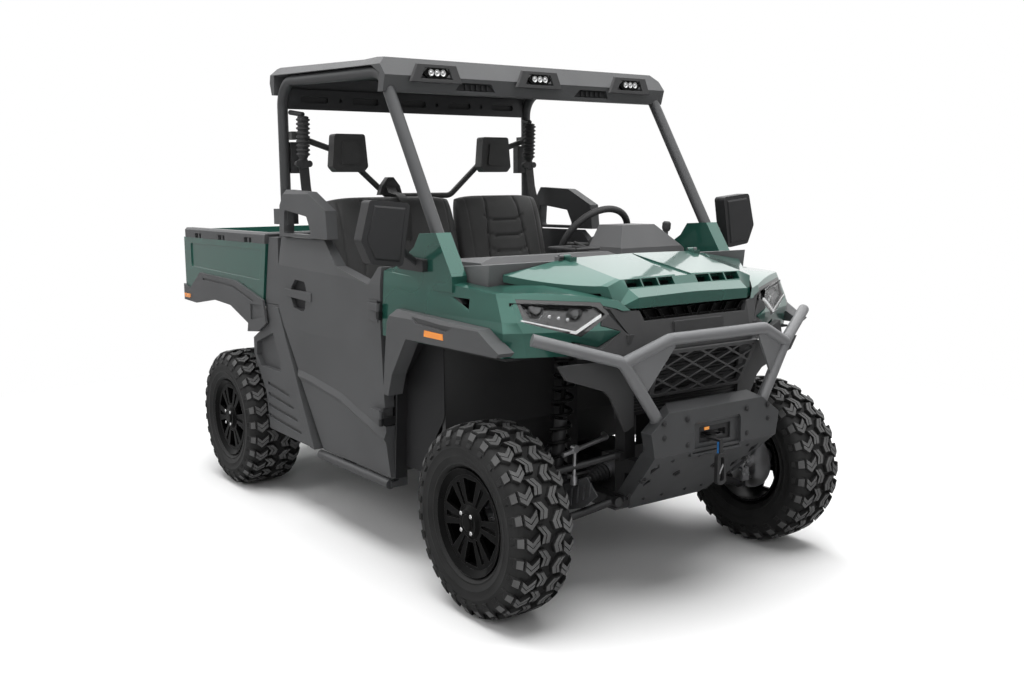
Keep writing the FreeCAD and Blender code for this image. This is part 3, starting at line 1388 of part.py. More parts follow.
def door():
    """The left half door with its hinge leaves."""
    outer = body_half_width + door_proud
    inner = outer - door_thickness
    front = fx(door_front)
    outline = [(front, door_bottom), (front, 1185), (front - 22, 1185), (fx(-760), sill_z),
               (fx(-1040), 1168),
               (fx(-1165), door_top), (fx(door_rear_top), door_top), (fx(door_rear_mid), 950),
               (fx(door_rear_low), door_bottom)]
    shape = across(outline, inner, outer + 2).common(door_sections(outer, inner))
    rear_pillar = block(fx(rear_pillar_x) - 60, fx(rear_pillar_x) + cage_tube / 2 + 16, inner - 90,
                        cage_half_width + cage_tube / 2 + part_gap, 300, 1300)
    pocket, bar = door_handle(outer)
    shape = shape.cut(Part.makeCompound([rear_pillar, pocket])).fuse(bar)
    axis = door_hinge_axis()
    half_height = door_hinge_height / 2
    for level in door_hinge_levels:
        shape = shape.cut(block(axis.x - 19, axis.x + 10, inner - 5, outer + 6, level - 7,
                                level + door_hinge_height + 7))
        z = level + half_height
        leaf = block(axis.x - 80, axis.x, outer, axis.y, z, z + half_height - 1)
        hinge = leaf.fuse(door_hinge_barrel(z, half_height - 1))
        pad = block(axis.x - 80, axis.x - 30, outer - 40, outer + 1, z, z + half_height - 1)
        bore = rod(vec(axis.x, axis.y, z - 5), vec(axis.x, axis.y, z + door_hinge_height),
                   door_pin + joint_fit)
        shape = shape.fuse([hinge, pad]).cut(bore)
    return largest(shape)


def shoulder_guard():
    """The left grab loop above the door's rear half, with its arm and a collar round the rear pillar."""
    outer = body_half_width + door_proud
    low = door_top + part_gap
    pillar = fx(rear_pillar_x)
    loop = across(stations([(-1563, low), (-1552, 1416), (-1496, 1486), (-1272, 1475), (-1098, 1396),
                            (-1086, low)]),
                  outer - 45, outer + door_proud)
    hole = across(stations([(-1514, low + 14), (-1504, 1397), (-1280, 1370), (-1236, low + 14)]),
                  outer - 60, outer + 20, 12)
    edge = along([(outer - 14, 1500), (outer + 20, 1500), (outer + 20, 1440)], fx(-1600), fx(-1000))
    arm = block(pillar + 6, fx(-1500), outer - 40, outer - 10, 1330, 1400)
    collar = block(pillar - 40, pillar + 40, cage_half_width - 40, outer - 10, 1330, 1400)
    bore = rod(vec(pillar, cage_half_width, 1200), vec(pillar, cage_half_width, 1500),
               cage_tube / 2 + weld_gap)
    return loop.cut(hole).cut(edge).fuse([arm, collar]).cut(bore)


def doors():
    left = door()
    save("door_left", left)
    save("door_right", mirrored(left))
    save("shoulder_guards", *both_sides(shoulder_guard()))


def side_panel():
    """The left panel behind the door: air intake, louvres, a waist seam and the strip along the door's edge."""
    outer = body_half_width - panel_inset
    inner = outer - panel_thickness
    outline = stations([(-1624, 1270), (-1724, 1268), (-1790, 954), (-1790, 850), (-1952, 772),
                        (-1952, 692),
                        (-1825, 520), (-1795, 345), (-1300, 335), (-1636, 945)])
    shape = across(outline, inner, outer)
    strip = across(stations([(-1636, 945), (-1690, 945), (-1345, 338), (-1300, 335)]), outer - 1,
                   outer + panel_inset)
    cuts = [across(stations([(-1723, 817), (-1660, 720), (-1640, 640), (-1870, 640), (-1925, 692),
                             (-1915, 754)]),
                   outer - intake_depth, outer + 1)]
    for i in range(louvre_count):
        z = 575 - i * 52
        front = -1565 + i * 38
        cuts.append(across(stations([(-1800, z), (front, z - 26), (front + 8, z - 42), (-1800, z - 16)]),
                           outer - louvre_depth, outer + 1))
    cuts.append(across(stations([(-1800, 952), (-1600, 955), (-1600, 959), (-1800, 956)]), outer - 4,
                       outer + 1))
    shape = shape.cut(Part.makeCompound(cuts)).fuse(strip)
    x = fx(rear_pillar_x)
    foot = block(x - 24, x + 24, cabin_half_width - 60, cage_half_width + 24, floor_z - 60,
                 floor_z + weld_gap)
    return largest(shape.cut(Part.makeCompound([side_hoop(cage_tube + 2 * weld_gap), foot])))


def rocker_rail():
    z = door_bottom - part_gap - rocker_radius
    y = body_half_width - rocker_inset
    rail = rod(vec(fx(-1290), y, z), vec(fx(-672), y, z), rocker_radius)
    rail_top = frame_heights()[1]
    post_y = body_half_width - door_post_inset
    pieces = []
    for x in (fx(door_post_x + outrigger_half), fx(-1100)):
        pieces.append(block(x - 18, x + 18, post_y - 42, post_y - 2, z - 12, rail_top - 1))
        pieces.append(block(x - 18, x + 18, post_y - 42, y, z - 12, z + 12))
    return rail.fuse(pieces)


def mirror():
    """The left mirror on a bent arm, its foot seated on the painted pillar web."""
    side = body_half_width
    head = along([(side + 63, 1433), (side + 226, 1448), (side + 264, 1307), (side + 226, 1225),
                  (side + 100, 1210)],
                 fx(-378), fx(-322), 16)
    glass = along([(side + 80, 1420), (side + 213, 1432), (side + 244, 1307), (side + 215, 1240),
                   (side + 112, 1227)],
                  fx(-379), fx(-374), 10)
    face = cage_half_width + cage_tube / 2 + sleeve_wall + weld_gap
    foot = across(stations([(-520, 1188), (-345, 1184), (-345, 1230), (-500, 1238)]), face, face + 22, 6)
    arm = tube([vec(fx(-400), face + 8, 1212), vec(fx(-385), side + 50, 1250),
                vec(fx(-350), side + 140, 1340)], 24, 30)
    inside = block(fx(-600), fx(-100), 0, face, 1000, 1500)
    return head.cut(glass).fuse([foot, arm.cut(inside)])


def side_fittings():
    save("side_panels", *both_sides(side_panel()))
    save("rocker_rails", *both_sides(rocker_rail()))
    save("mirrors", *both_sides(mirror()))
    inner = cage_half_width - cage_tube / 2 - weld_gap
    x = fx(rear_pillar_x)
    save("seat_belts", *both_sides(block(x - 20, x + 20, inner - 44, inner, belt_reel_low,
                                        belt_reel_low + belt_reel_height)))


def bed_nose(z):
    """Row X of the bed's leaning front wall at a height."""
    low = bed_floor_z - bed_floor_thickness
    lean = (bed_front_top - bed_front_low) / (bed_rail_top - low)
    return rx(bed_front_low) + lean * (z - low)


def bed_tub():
    """The bed's floor and three walls, runners, corner posts and the fixed halves of its hinges."""
    rear = rx(-rear_overhang) + tailgate_thickness + shut_gap
    half = body_half_width
    low = bed_floor_z - bed_floor_thickness
    tub_top = bed_rail_top - bed_rail_height
    front_low, front_top, rail_front = bed_nose(low), bed_nose(tub_top), bed_nose(bed_rail_top)
    tub = across([(rear, low), (front_low, low), (front_top, tub_top), (rear, tub_top)], -half, half)
    tub = tub.cut(across([(rear - 1, bed_floor_z), (front_low - bed_wall, bed_floor_z),
                          (rail_front - bed_wall, bed_rail_top), (rear - 1, bed_rail_top)], bed_wall - half,
                          half - bed_wall))
    seat = rear_tower_top + tower_plate + weld_gap
    hinge_x = rx(bed_hinge_x)
    pieces = []
    for y in (runner_y - runner_width / 2, -runner_y - runner_width / 2):
        pieces.append(block(hinge_x - 20, front_low - 60, y, y + runner_width, seat, low + 1))
        pieces.append(block(hinge_x - 20, hinge_x + 20, y, y + runner_width, bed_hinge_z - 20, seat + 1))
    pieces += both_sides(block(rx(-rear_overhang) + lamp_thickness, rear + 1, half - corner_post, half, low,
                               tub_top))
    recess = across([(rear + 60, 1080), (front_low - 30, 1060), (front_top - 50, 1205), (rear + 60, 1205)],
                    half - 6, half + 1, 14)
    bore = rod(vec(hinge_x, -half, bed_hinge_z), vec(hinge_x, half, bed_hinge_z), bed_pin + joint_fit)
    return tub.cut(Part.makeCompound(both_sides(recess))).fuse(pieces).cut(bore)


def tailgate_axis(y):
    return vec(rx(-rear_overhang) + tailgate_thickness - 6, y, tailgate_hinge_z)


def bed_rails():
    """The capping rail along the bed's sides and front, with tie-down notches."""
    rear = rx(-rear_overhang) + tailgate_thickness + shut_gap
    low = bed_rail_top - bed_rail_height + weld_gap
    half = body_half_width + bed_rail_proud
    width = bed_wall + 2 * bed_rail_proud
    front_low, front_top = bed_nose(low), bed_nose(bed_rail_top)
    rim = across([(rear, low), (front_low, low), (front_top, bed_rail_top - 8),
                  (front_top - 10, bed_rail_top),
                  (rear, bed_rail_top)], -half, half)
    inside = block(rear - 1, front_low - width, width - half, half - width, low - 1, bed_rail_top + 1)
    chamfer = along([(half - 12, bed_rail_top + 1), (half + 1, bed_rail_top + 1),
                     (half + 1, bed_rail_top - 12)],
                    rear - 1, front_top + 1)
    notches = []
    for station in tie_down_stations:
        notch = block(rx(station) - tie_down_half, rx(station) + tie_down_half, half - 16, half + 1,
                      low - 1, low + 24)
        hook = block(rx(station) - 9, rx(station) + 9, half - 17, half - 4, low, low + 26)
        notches += both_sides(notch.cut(hook))
    save("bed_rails", rim.cut(inside).cut(Part.makeCompound(notches + both_sides(chamfer))))


def tailgate():
    """The gate between the corner posts, with a pressed panel, a latch pocket and its hinge barrels."""
    back = rx(-rear_overhang)
    half = body_half_width - corner_post - part_gap
    gate = block(back, back + tailgate_thickness, -half, half, bed_floor_z - 20, bed_rail_top - 10)
    pressed = along([(-half + 70, 1010), (half - 70, 1010), (half - 70, 1190), (-half + 70, 1190)],
                    back - 1, back + gate_panel_depth, 20)
    latch = along([(-85, 1212), (85, 1212), (85, 1258), (-85, 1258)], back - 1, back + 20, 10)
    gate = gate.cut(Part.makeCompound([pressed, latch]))
    knuckles = []
    for y in (tailgate_hinge_y + tailgate_hinge_width + 1,
              -tailgate_hinge_y - 2 * tailgate_hinge_width - 1):
        pivot = tailgate_axis(y)
        barrel = rod(pivot, pivot + vec(0, tailgate_hinge_width, 0), tailgate_ear)
        strap = block(pivot.x - 12, pivot.x + 5, y, y + tailgate_hinge_width, tailgate_hinge_z,
                      bed_floor_z - 19)
        bore = rod(pivot - vec(0, 5, 0), pivot + vec(0, 35, 0), tailgate_pin + joint_fit)
        knuckles.append(barrel.fuse(strap).cut(bore))
    save("tailgate", gate.fuse(knuckles))


def bed_skirts():
    """Dark cladding over the rear arches, hung on the bed's sides."""
    outline = rear_stations([(-698, 978), (-610, 953), (-445, 1052), (44, 1040), (379, 968), (407, 860), (309, 812),
                             (182, 800), (193, 842), (-28, 912), (-240, 922), (-516, 884), (-698, 890)])
    inner = body_half_width + weld_gap
    outer = inner + skirt_thickness
    skirt = across(outline, inner, outer)
    groove = across(rear_stations([(-400, 1016), (10, 1006), (260, 952), (264, 962), (12, 1018), (-396, 1028)]),
                    outer - 5, outer + 1)
    bracket = across(rear_stations([(227, 862), (365, 884), (363, 945), (230, 940)]), outer - 8, outer + 1)
    save("bed_skirts", *both_sides(skirt.cut(Part.makeCompound([groove, bracket]))))


def cargo_bed():
    rear = rx(-rear_overhang) + tailgate_thickness + shut_gap
    low = bed_floor_z - bed_floor_thickness
    ears = []
    for y in (tailgate_hinge_y, -tailgate_hinge_y - tailgate_hinge_width):
        pivot = tailgate_axis(y)
        ears.append(rod(pivot, pivot + vec(0, tailgate_hinge_width, 0), tailgate_ear))
        end = y + tailgate_hinge_width
        ears.append(block(pivot.x, rear + 30, y, end, pivot.z - tailgate_ear, pivot.z + 10))
        ears.append(block(rear + 4, rear + 30, y, end, pivot.z - tailgate_ear, low + 1))
    pin_end = tailgate_hinge_y + 2 * tailgate_hinge_width
    pins = [rod(tailgate_axis(side * tailgate_hinge_y), tailgate_axis(side * pin_end),
                tailgate_pin) for side in (-1, 1)]
    save("cargo_bed", bed_tub().fuse(ears + pins))
    bed_rails()
    tailgate()
    bed_skirts()
    post = body_half_width - corner_post
    back = rx(-rear_overhang)
    lamp = block(back, back + lamp_thickness - weld_gap, post + 8, body_half_width - 8, 1010, 1200)
    save("tail_lamps", *both_sides(lamp))


def main():
    os.makedirs("parts", exist_ok=True)
    wheels()
    suspension()
    frame()
    floor_pan()
    seats()
    headrests()
    dashboard()
    steering_controls()
    cage()
    roof()
    front_body()
    bull_bar()
    bumper_plate()
    winch()
    doors()
    side_fittings()
    cargo_bed()


main()
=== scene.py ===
"""Looks of the side by side utility vehicle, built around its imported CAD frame.

Metres, +X forward, +Y left, +Z up. Places on the body are given in millimetres, as a station ahead of the
front axle, a distance to the left and a height, and at() turns them into metres.
"""

import json
import math

import bpy
from mathutils import Matrix, Vector


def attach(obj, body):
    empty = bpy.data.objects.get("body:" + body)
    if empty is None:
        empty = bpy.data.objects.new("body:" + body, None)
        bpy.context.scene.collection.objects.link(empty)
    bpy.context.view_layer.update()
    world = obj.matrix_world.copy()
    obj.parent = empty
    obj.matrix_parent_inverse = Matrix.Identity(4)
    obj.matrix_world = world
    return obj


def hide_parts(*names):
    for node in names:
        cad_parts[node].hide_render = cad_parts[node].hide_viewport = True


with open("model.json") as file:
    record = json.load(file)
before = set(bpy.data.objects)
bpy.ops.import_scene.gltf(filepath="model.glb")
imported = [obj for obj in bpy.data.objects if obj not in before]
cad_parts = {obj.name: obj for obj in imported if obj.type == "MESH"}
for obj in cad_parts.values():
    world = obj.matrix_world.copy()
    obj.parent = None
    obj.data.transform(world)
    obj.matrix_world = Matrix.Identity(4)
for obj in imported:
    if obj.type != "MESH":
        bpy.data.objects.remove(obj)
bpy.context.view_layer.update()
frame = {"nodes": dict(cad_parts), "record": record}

# Camera, solved from the photograph
CAMERA_PLACE = (4.1274, -2.7589, 1.4832)
CAMERA_YAW = math.radians(144.7886)
CAMERA_PITCH = math.radians(-8.3028)
CAMERA_ROLL = math.radians(-0.5977)
FOCAL_PIXELS = 1059.39
IMAGE_WIDTH = 1024
SENSOR_WIDTH = 36.0
CENTRE_OFFSET_PIXELS = (22.90, 0.757)

# Stage
FLOOR_HALF = 40.0
WHITE_FROM = 2.6
WHITE_FULL = 4.4
AMBIENT = 0.34
FLOOR_IN_REFLECTIONS = 0.34
BACK_GLOW = 0.60
SKY_TOP = 1.75
SKY_LOW = 0.16
BACK_HEADING = (-0.83, 0.56, 0.0)

# Vehicle, in millimetres
MM = 0.001
FRONT_AXLE_X = 1205.0
REAR_AXLE_X = -955.0
AXLE_Z = 343.0
TYRE_RADIUS = 343.0
HALF_WIDTH = 812.0
FRONT_WIDTH = 236.0
REAR_WIDTH = 280.0
BODY_HALF = 740.0
PLATE_FRONT = 407.0
PLATE_FOLD_Z = 575.0
HUB_INSET = 14.0
ROOF_LAMPS = (-502.0, 0.0, 502.0)
ROOF_LAMP_FRONT = -606.0
ROOF_LAMP_Z = 1924.0

# Slopes and shares
LAMP_SWEEP = 0.45
LAMP_TURN = 0.46
# Share of each door's pocket that its near-black sheet of painted shade covers
POCKET_SHADE_SHARE = 0.985

# Directions
AHEAD = Vector((1, 0, 0))
LEFT = Vector((0, 1, 0))
UP = Vector((0, 0, 1))

# Counts of what repeats
NUTS = 4
BELLOWS_RIBS = 9
BOOT_RIBS = 5
GUARD_RIBS = 5
LAMP_CELLS = 6
ROOF_LOUVRES = 5
BED_RIBS = 9
RADIATOR_FINS = 22

# Tread
PITCHES = 27
CARCASS_STEPS = 108
LUG_HEIGHT = 17.0
LUG_DRAFT = 1.08
LUG_TOP = 0.90
LUG_ROOT = 3.0
LUG_STEP = 2.2
RIB_SHIFT = 6
RIB_HEIGHT = 8
RIB_TOP = 0.72

# Seats (name, right side, left side, middle of the sewing, reach of its straight seams) and belts
SEATS = (("bench", -600.0, 78.0, -0.07, 0.135), ("driver", 90.0, 600.0, 0.0, 0.125))
SEAT_LEAN = math.radians(14.0)
PAD_STEPS = 110
PAD_CORNER = 7
PAD_SEAM = 0.42
BELT_WIDTH = 0.048
BELT_HALF_THICKNESS = 0.0015

# Nuts, washers and springs
NUT_CIRCLE = 0.042
WASHER_RATIO = 1.45
WASHER_SHARE = 0.3
WASHER_ROOT = 0.002
COIL_STEPS = 18

# Degrees under which a piece's edges are shaded smooth
TREAD_ANGLE = 28.0
BELT_ANGLE = 50.0
SEAT_ANGLE = 60.0

# Materials: the middle range of a noise, where a painted edge highlight begins and is full, and the radii
# of rounded edges
NOISE_LOW = 0.3
NOISE_HIGH = 0.7
EDGE_BEGINS = 0.995
EDGE_FULL = 0.80
BEVEL_SAMPLES = 4
PAINT_EDGE = 0.003
PLASTIC_EDGE = 0.0025
COAT_EDGE = 0.002
RIM_EDGE = 0.0018
RUBBER_EDGE = 0.0015
CHROME_EDGE = 0.001


class Graph:
    """A node tree with short calls to add and join its nodes."""

    def __init__(self, name, world=None):
        self.data = world or bpy.data.materials.new(name)
        self.data.use_nodes = True
        self.tree = self.data.node_tree
        self.tree.nodes.clear()

    def add(self, kind, inputs=None, **settings):
        node = self.tree.nodes.new("ShaderNode" + kind)
        for key, value in settings.items():
            setattr(node, key, value)
        for key, value in (inputs or {}).items():
            self.put(node, key, value)
        return node

    def put(self, node, key, value):
        if isinstance(value, bpy.types.NodeSocket):
            self.tree.links.new(value, node.inputs[key])
        else:
            node.inputs[key].default_value = value

    def place(self):
        return self.add("TexCoord").outputs["Object"]

    def noise(self, scale, detail, roughness=0.5):
        inputs = {"Vector": self.place(), "Scale": scale, "Detail": detail, "Roughness": roughness}
        return self.add("TexNoise", inputs).outputs["Fac"]

    def cells(self, scale):
        return self.add("TexVoronoi", {"Vector": self.place(), "Scale": scale}).outputs["Distance"]

    def spread(self, value, low, high, new_low, new_high):
        inputs = {"Value": value, "From Min": low, "From Max": high, "To Min": new_low, "To Max": new_high}
        return self.add("MapRange", inputs).outputs[0]

    def swing(self, noise, low, high):
        """Spreads the middle range of a noise from low to high."""
        return self.spread(noise, NOISE_LOW, NOISE_HIGH, low, high)

    def math(self, operation, first, second):
        return self.add("Math", {0: first, 1: second}, operation=operation).outputs[0]

    def mix(self, share, first, second):
        return self.add("Mix", {0: share, 6: first, 7: second}, data_type="RGBA").outputs[2]

    def rounded(self, radius):
        """Normals of the surface with its sharp edges rounded off."""
        return self.add("Bevel", {"Radius": radius}, samples=BEVEL_SAMPLES).outputs[0]

    def edge(self, normal):
        """A share from 0 to 1 that rises where the rounded normal leaves the flat one."""
        flat = self.add("NewGeometry").outputs["Normal"]
        same = self.add("VectorMath", {0: normal, 1: flat}, operation="DOT_PRODUCT").outputs["Value"]
        return self.spread(same, EDGE_BEGINS, EDGE_FULL, 0.0, 1.0)

    def painted_edge_highlight(self, normal, base, colour, share=0.5):
        """Mixes a lighter colour in along the rounded edges: a painted highlight."""
        return self.mix(self.math("MULTIPLY", self.edge(normal), share), base, colour)

    def bump(self, height, strength, distance, normal=None):
        inputs = {"Height": height, "Strength": strength, "Distance": distance}
        if normal is not None:
            inputs["Normal"] = normal
        return self.add("Bump", inputs).outputs[0]

    def shade(self, **inputs):
        names = {key.replace("_", " "): value for key, value in inputs.items()}
        shader = self.add("BsdfPrincipled", names)
        self.add("OutputMaterial", {0: shader.outputs[0]})
        return self.data


def grey(value):
    return (value, value, value, 1.0)


def scaled(colour, factor):
    return tuple(c * factor for c in colour[:3]) + (1.0,)


def green_paint():
    g = Graph("green_paint")
    flake = g.cells(2600.0)
    cloud = g.noise(1.4, 2.0)
    base = g.mix(g.swing(cloud, 0.0, 1.0), PAINT_DARK, PAINT_LIGHT)
    base = g.mix(g.spread(flake, 0.0, 0.25, 0.30, 0.0), base, PAINT_FLAKE)
    normal = g.rounded(PAINT_EDGE)
    return g.shade(Base_Color=base, Metallic=0.45, Roughness=g.swing(cloud, 0.26, 0.32), Coat_Weight=1.0,
                   Coat_Roughness=0.04, Normal=g.bump(g.noise(95.0, 1.0), 0.03, 0.0004, normal))


def moulded(name, colour, roughness, grain=0.35, scale=900.0):
    """Injection-moulded plastic: a fine leathery grain, with a painted highlight along its edges."""
    g = Graph(name)
    normal = g.rounded(PLASTIC_EDGE)
    cloud = g.noise(3.0, 3.0)
    fine = g.noise(scale * 1.7, 2.0)
    base = g.mix(g.swing(cloud, 0.0, 1.0), scaled(colour, 0.92), scaled(colour, 1.10))
    # Lighter along the rounded edges: a painted highlight.
    base = g.painted_edge_highlight(normal, base, scaled(colour, 1.7))
    height = g.math("ADD", g.cells(scale), g.math("MULTIPLY", fine, 0.5))
    return g.shade(Base_Color=base, Roughness=g.swing(fine, roughness - 0.05, roughness + 0.06),
                   Specular_IOR_Level=0.38, Normal=g.bump(height, grain, 0.0004, normal))


def powder_coat(name, colour, roughness=0.38):
    """Satin powder coat: a fine orange peel over steel."""
    g = Graph(name)
    normal = g.rounded(COAT_EDGE)
    cloud = g.noise(5.0, 2.0)
    base = g.mix(g.swing(cloud, 0.0, 1.0), scaled(colour, 0.9), colour)
    # Lighter along the rounded edges: a painted highlight.
    base = g.painted_edge_highlight(normal, base, scaled(colour, 2.0))
    return g.shade(Base_Color=base, Roughness=g.swing(cloud, roughness - 0.04, roughness + 0.05),
                   Metallic=0.25, Specular_IOR_Level=0.55,
                   Normal=g.bump(g.noise(420.0, 2.0), 0.16, 0.0004, normal))


def bare_metal(name, colour, roughness):
    g = Graph(name)
    cloud = g.noise(7.0, 3.0)
    base = g.mix(g.spread(cloud, 0.35, 0.65, 0.0, 1.0), scaled(colour, 0.72), colour)
    return g.shade(Base_Color=base, Metallic=0.9,
                   Roughness=g.swing(cloud, roughness - 0.08, roughness + 0.1),
                   Normal=g.bump(g.noise(260.0, 4.0, 0.6), 0.2, 0.0005))


def rubber(name, low, high, shine):
    g = Graph(name)
    dust = g.noise(9.0, 4.0)
    normal = g.rounded(RUBBER_EDGE)
    base = g.mix(g.spread(dust, 0.35, 0.7, 0.0, 1.0), grey(low), grey(high))
    # Lighter along the rounded edges: a painted highlight.
    base = g.painted_edge_highlight(normal, base, grey(high * 3.0))
    return g.shade(Base_Color=base, Roughness=g.swing(dust, 0.50, 0.62), Specular_IOR_Level=shine,
                   Normal=g.bump(g.noise(700.0, 2.0), 0.14, 0.0006, normal))


def gloss_black(name="rim_black"):
    g = Graph(name)
    cloud = g.noise(14.0, 3.0)
    normal = g.rounded(RIM_EDGE)
    base = g.mix(g.swing(cloud, 0.0, 1.0), grey(0.002), grey(0.004))
    # Lighter along the rounded edges: a painted highlight.
    base = g.painted_edge_highlight(normal, base, grey(0.12), 0.6)
    return g.shade(Base_Color=base, Roughness=g.swing(cloud, 0.26, 0.36), Specular_IOR_Level=0.06,
                   Coat_Weight=0.02, Coat_Roughness=0.15,
                   Normal=g.bump(g.noise(160.0, 2.0), 0.04, 0.0005, normal))


def vinyl():
    g = Graph("seat_fabric")
    cell = g.cells(520.0)
    fine = g.noise(1400.0, 2.0)
    cloud = g.noise(6.0, 3.0)
    base = g.mix(g.swing(cloud, 0.0, 1.0), grey(0.044), grey(0.062))
    base = g.mix(g.spread(cell, 0.0, 0.35, 0.45, 0.0), base, grey(0.012))
    height = g.math("ADD", cell, g.math("MULTIPLY", fine, 0.4))
    return g.shade(Base_Color=base, Roughness=g.swing(fine, 0.50, 0.64), Sheen_Weight=0.15,
                   Normal=g.bump(height, 0.5, 0.0006))


def webbing():
    """Woven belt strap."""
    g = Graph("webbing")
    weave = g.add("TexWave", {"Vector": g.place(), "Scale": 260.0},
                  bands_direction="DIAGONAL").outputs["Fac"]
    base = g.mix(weave, grey(0.012), grey(0.03))
    return g.shade(Base_Color=base, Roughness=g.spread(weave, 0.0, 1.0, 0.6, 0.75), Sheen_Weight=0.3,
                   Normal=g.bump(weave, 0.5, 0.0005))


def clear_lens():
    g = Graph("lamp_lens")
    ripple = g.noise(35.0, 1.0)
    return g.shade(Base_Color=(0.93, 0.95, 0.97, 1.0), Roughness=0.03, Transmission_Weight=1.0, IOR=1.25,
                   Alpha=0.22, Normal=g.bump(ripple, 0.02, 0.0005))


def bright_chrome(name="chrome", level=0.78, roughness=0.12):
    g = Graph(name)
    cloud = g.noise(30.0, 2.0)
    base = g.mix(cloud, grey(level * 0.85), grey(level))
    return g.shade(Base_Color=base, Metallic=1.0, Roughness=g.swing(cloud, roughness, roughness + 0.05),
                   Normal=g.bump(cloud, 0.02, 0.0004, g.rounded(CHROME_EDGE)))


def glow_white():
    """The milky light guide along the lower edge of the headlights."""
    g = Graph("light_guide")
    cloud = g.noise(60.0, 1.0)
    base = g.mix(cloud, grey(0.80), grey(0.92))
    return g.shade(Base_Color=base, Roughness=g.spread(cloud, 0.0, 1.0, 0.2, 0.3), Emission_Color=grey(1.0),
                   Emission_Strength=0.05, Normal=g.bump(cloud, 0.02, 0.0005))


def tinted(name, dark, light, roughness=0.15, rib=90.0):
    """A ribbed coloured lens or a glossy coloured plastic."""
    g = Graph(name)
    ribs = g.add("TexWave", {"Vector": g.place(), "Scale": rib}, bands_direction="X").outputs["Fac"]
    return g.shade(Base_Color=g.mix(ribs, dark, light),
                   Roughness=g.spread(ribs, 0.0, 1.0, roughness, roughness + 0.08),
                   Coat_Weight=1.0, Coat_Roughness=0.03, Normal=g.bump(ribs, 0.15, 0.0006))


PAINT_DARK = (0.016, 0.088, 0.066, 1.0)
PAINT_LIGHT = (0.021, 0.110, 0.083, 1.0)
PAINT_FLAKE = (0.07, 0.22, 0.175, 1.0)
DARK_PLASTIC = (0.062, 0.063, 0.065, 1.0)
BLACK_PLASTIC = (0.044, 0.044, 0.045, 1.0)
LINER_PLASTIC = (0.011, 0.011, 0.012, 1.0)
BAR_STEEL = (0.150, 0.152, 0.156, 1.0)
MIRROR_PLASTIC = (0.020, 0.020, 0.021, 1.0)
DASH_PLASTIC = (0.110, 0.111, 0.113, 1.0)
FRAME_STEEL = (0.052, 0.053, 0.055, 1.0)
BLACK_STEEL = (0.024, 0.024, 0.025, 1.0)
ALLOY = (0.30, 0.30, 0.31, 1.0)
STEEL = (0.55, 0.55, 0.56, 1.0)
RED_DARK, RED_LIGHT = (0.35, 0.004, 0.006, 1.0), (0.62, 0.02, 0.02, 1.0)
AMBER_DARK, AMBER_LIGHT = (0.75, 0.20, 0.02, 1.0), (0.95, 0.36, 0.05, 1.0)
BLUE_DARK, BLUE_LIGHT = (0.01, 0.10, 0.30, 1.0), (0.02, 0.16, 0.42, 1.0)
finishes = {
    "green_paint": green_paint(),
    "dark_plastic": moulded("dark_plastic", DARK_PLASTIC, 0.50),
    "black_plastic": moulded("black_plastic", BLACK_PLASTIC, 0.55),
    "frame_steel": powder_coat("frame_steel", FRAME_STEEL),
    "black_steel": powder_coat("black_steel", BLACK_STEEL, 0.42),
    "engine_alloy": bare_metal("engine_alloy", ALLOY, 0.48),
    "bright_steel": bare_metal("bright_steel", STEEL, 0.32),
    "tyre_rubber": rubber("tyre_rubber", 0.010, 0.018, 0.25),
    "rim_black": gloss_black(),
    "seat_fabric": vinyl(),
    "lamp_lens": clear_lens(),
    "tail_lens": tinted("tail_lens", RED_DARK, RED_LIGHT),
}
# A lighter rubber for the tops of the lugs.
LIGHTER_TOP_RUBBER = rubber("lighter_top_rubber", 0.060, 0.100, 0.35)
DASH_FINISH = moulded("dash_plastic", DASH_PLASTIC, 0.55, grain=0.6, scale=420.0)
GLOSS_PLASTIC = gloss_black("gloss_plastic")
CHROME = bright_chrome()
SMOKED_CHROME = bright_chrome("smoked_chrome", 0.12, 0.20)
LIGHT_GUIDE = glow_white()
AMBER = tinted("amber_lens", AMBER_DARK, AMBER_LIGHT)
BLUE_STRAP = tinted("blue_strap", BLUE_DARK, BLUE_LIGHT, 0.5, 300.0)
WEBBING = webbing()
MIRROR_FINISH = moulded("mirror_plastic", MIRROR_PLASTIC, 0.5)
BAR_FINISH = powder_coat("bar_coat", BAR_STEEL)
LINER_FINISH = moulded("liner_plastic", LINER_PLASTIC, 0.6)
NODE_FINISHES = {
    "dashboard": DASH_FINISH,
    "headlights": SMOKED_CHROME,
    "roof_lamps": GLOSS_PLASTIC,
    "upper_grille": GLOSS_PLASTIC,
    "headrests": finishes["seat_fabric"],
    "bed_rails": finishes["dark_plastic"],
    "mirrors": MIRROR_FINISH,
    "bull_bar": BAR_FINISH,
    "wheel_liners": LINER_FINISH,
}


def dress(thing, finish):
    """Gives a CAD node or a new piece one finish in every material slot."""
    if not thing.material_slots:
        thing.data.materials.append(finish)
    for entry in thing.material_slots:
        entry.material = finish


def dress_frame():
    for subpart in frame["record"]["subparts"]:
        name = subpart["node"]
        dress(frame["nodes"][name], NODE_FINISHES.get(name, finishes[subpart["material_slot"]]))


def at(station, y, z):
    """Row place, in metres, of a station ahead of the front axle, a distance left and a height."""
    return Vector(((FRONT_AXLE_X + station) * MM, y * MM, z * MM))


def side_ring(outline, y):
    """Places of (station, height) points at one distance left."""
    return [at(station, y, z) for station, z in outline]


def front_ring(outline, station):
    """Places of (distance left, height) points at one station."""
    return [at(station, y, z) for y, z in outline]


def frame_of(axis):
    """Two unit vectors square to an axis and to each other."""
    side = axis.cross(UP)
    if side.length < 1e-3:
        side = axis.cross(AHEAD)
    side.normalize()
    return side, side.cross(axis).normalized()


def ring_around(centre, first, second, radius, sides):
    """Points of a circle, given its middle and two unit vectors across it."""
    ring = []
    for k in range(sides):
        turn = 2 * math.pi * k / sides
        ring.append(centre + (first * math.cos(turn) + second * math.sin(turn)) * radius)
    return ring


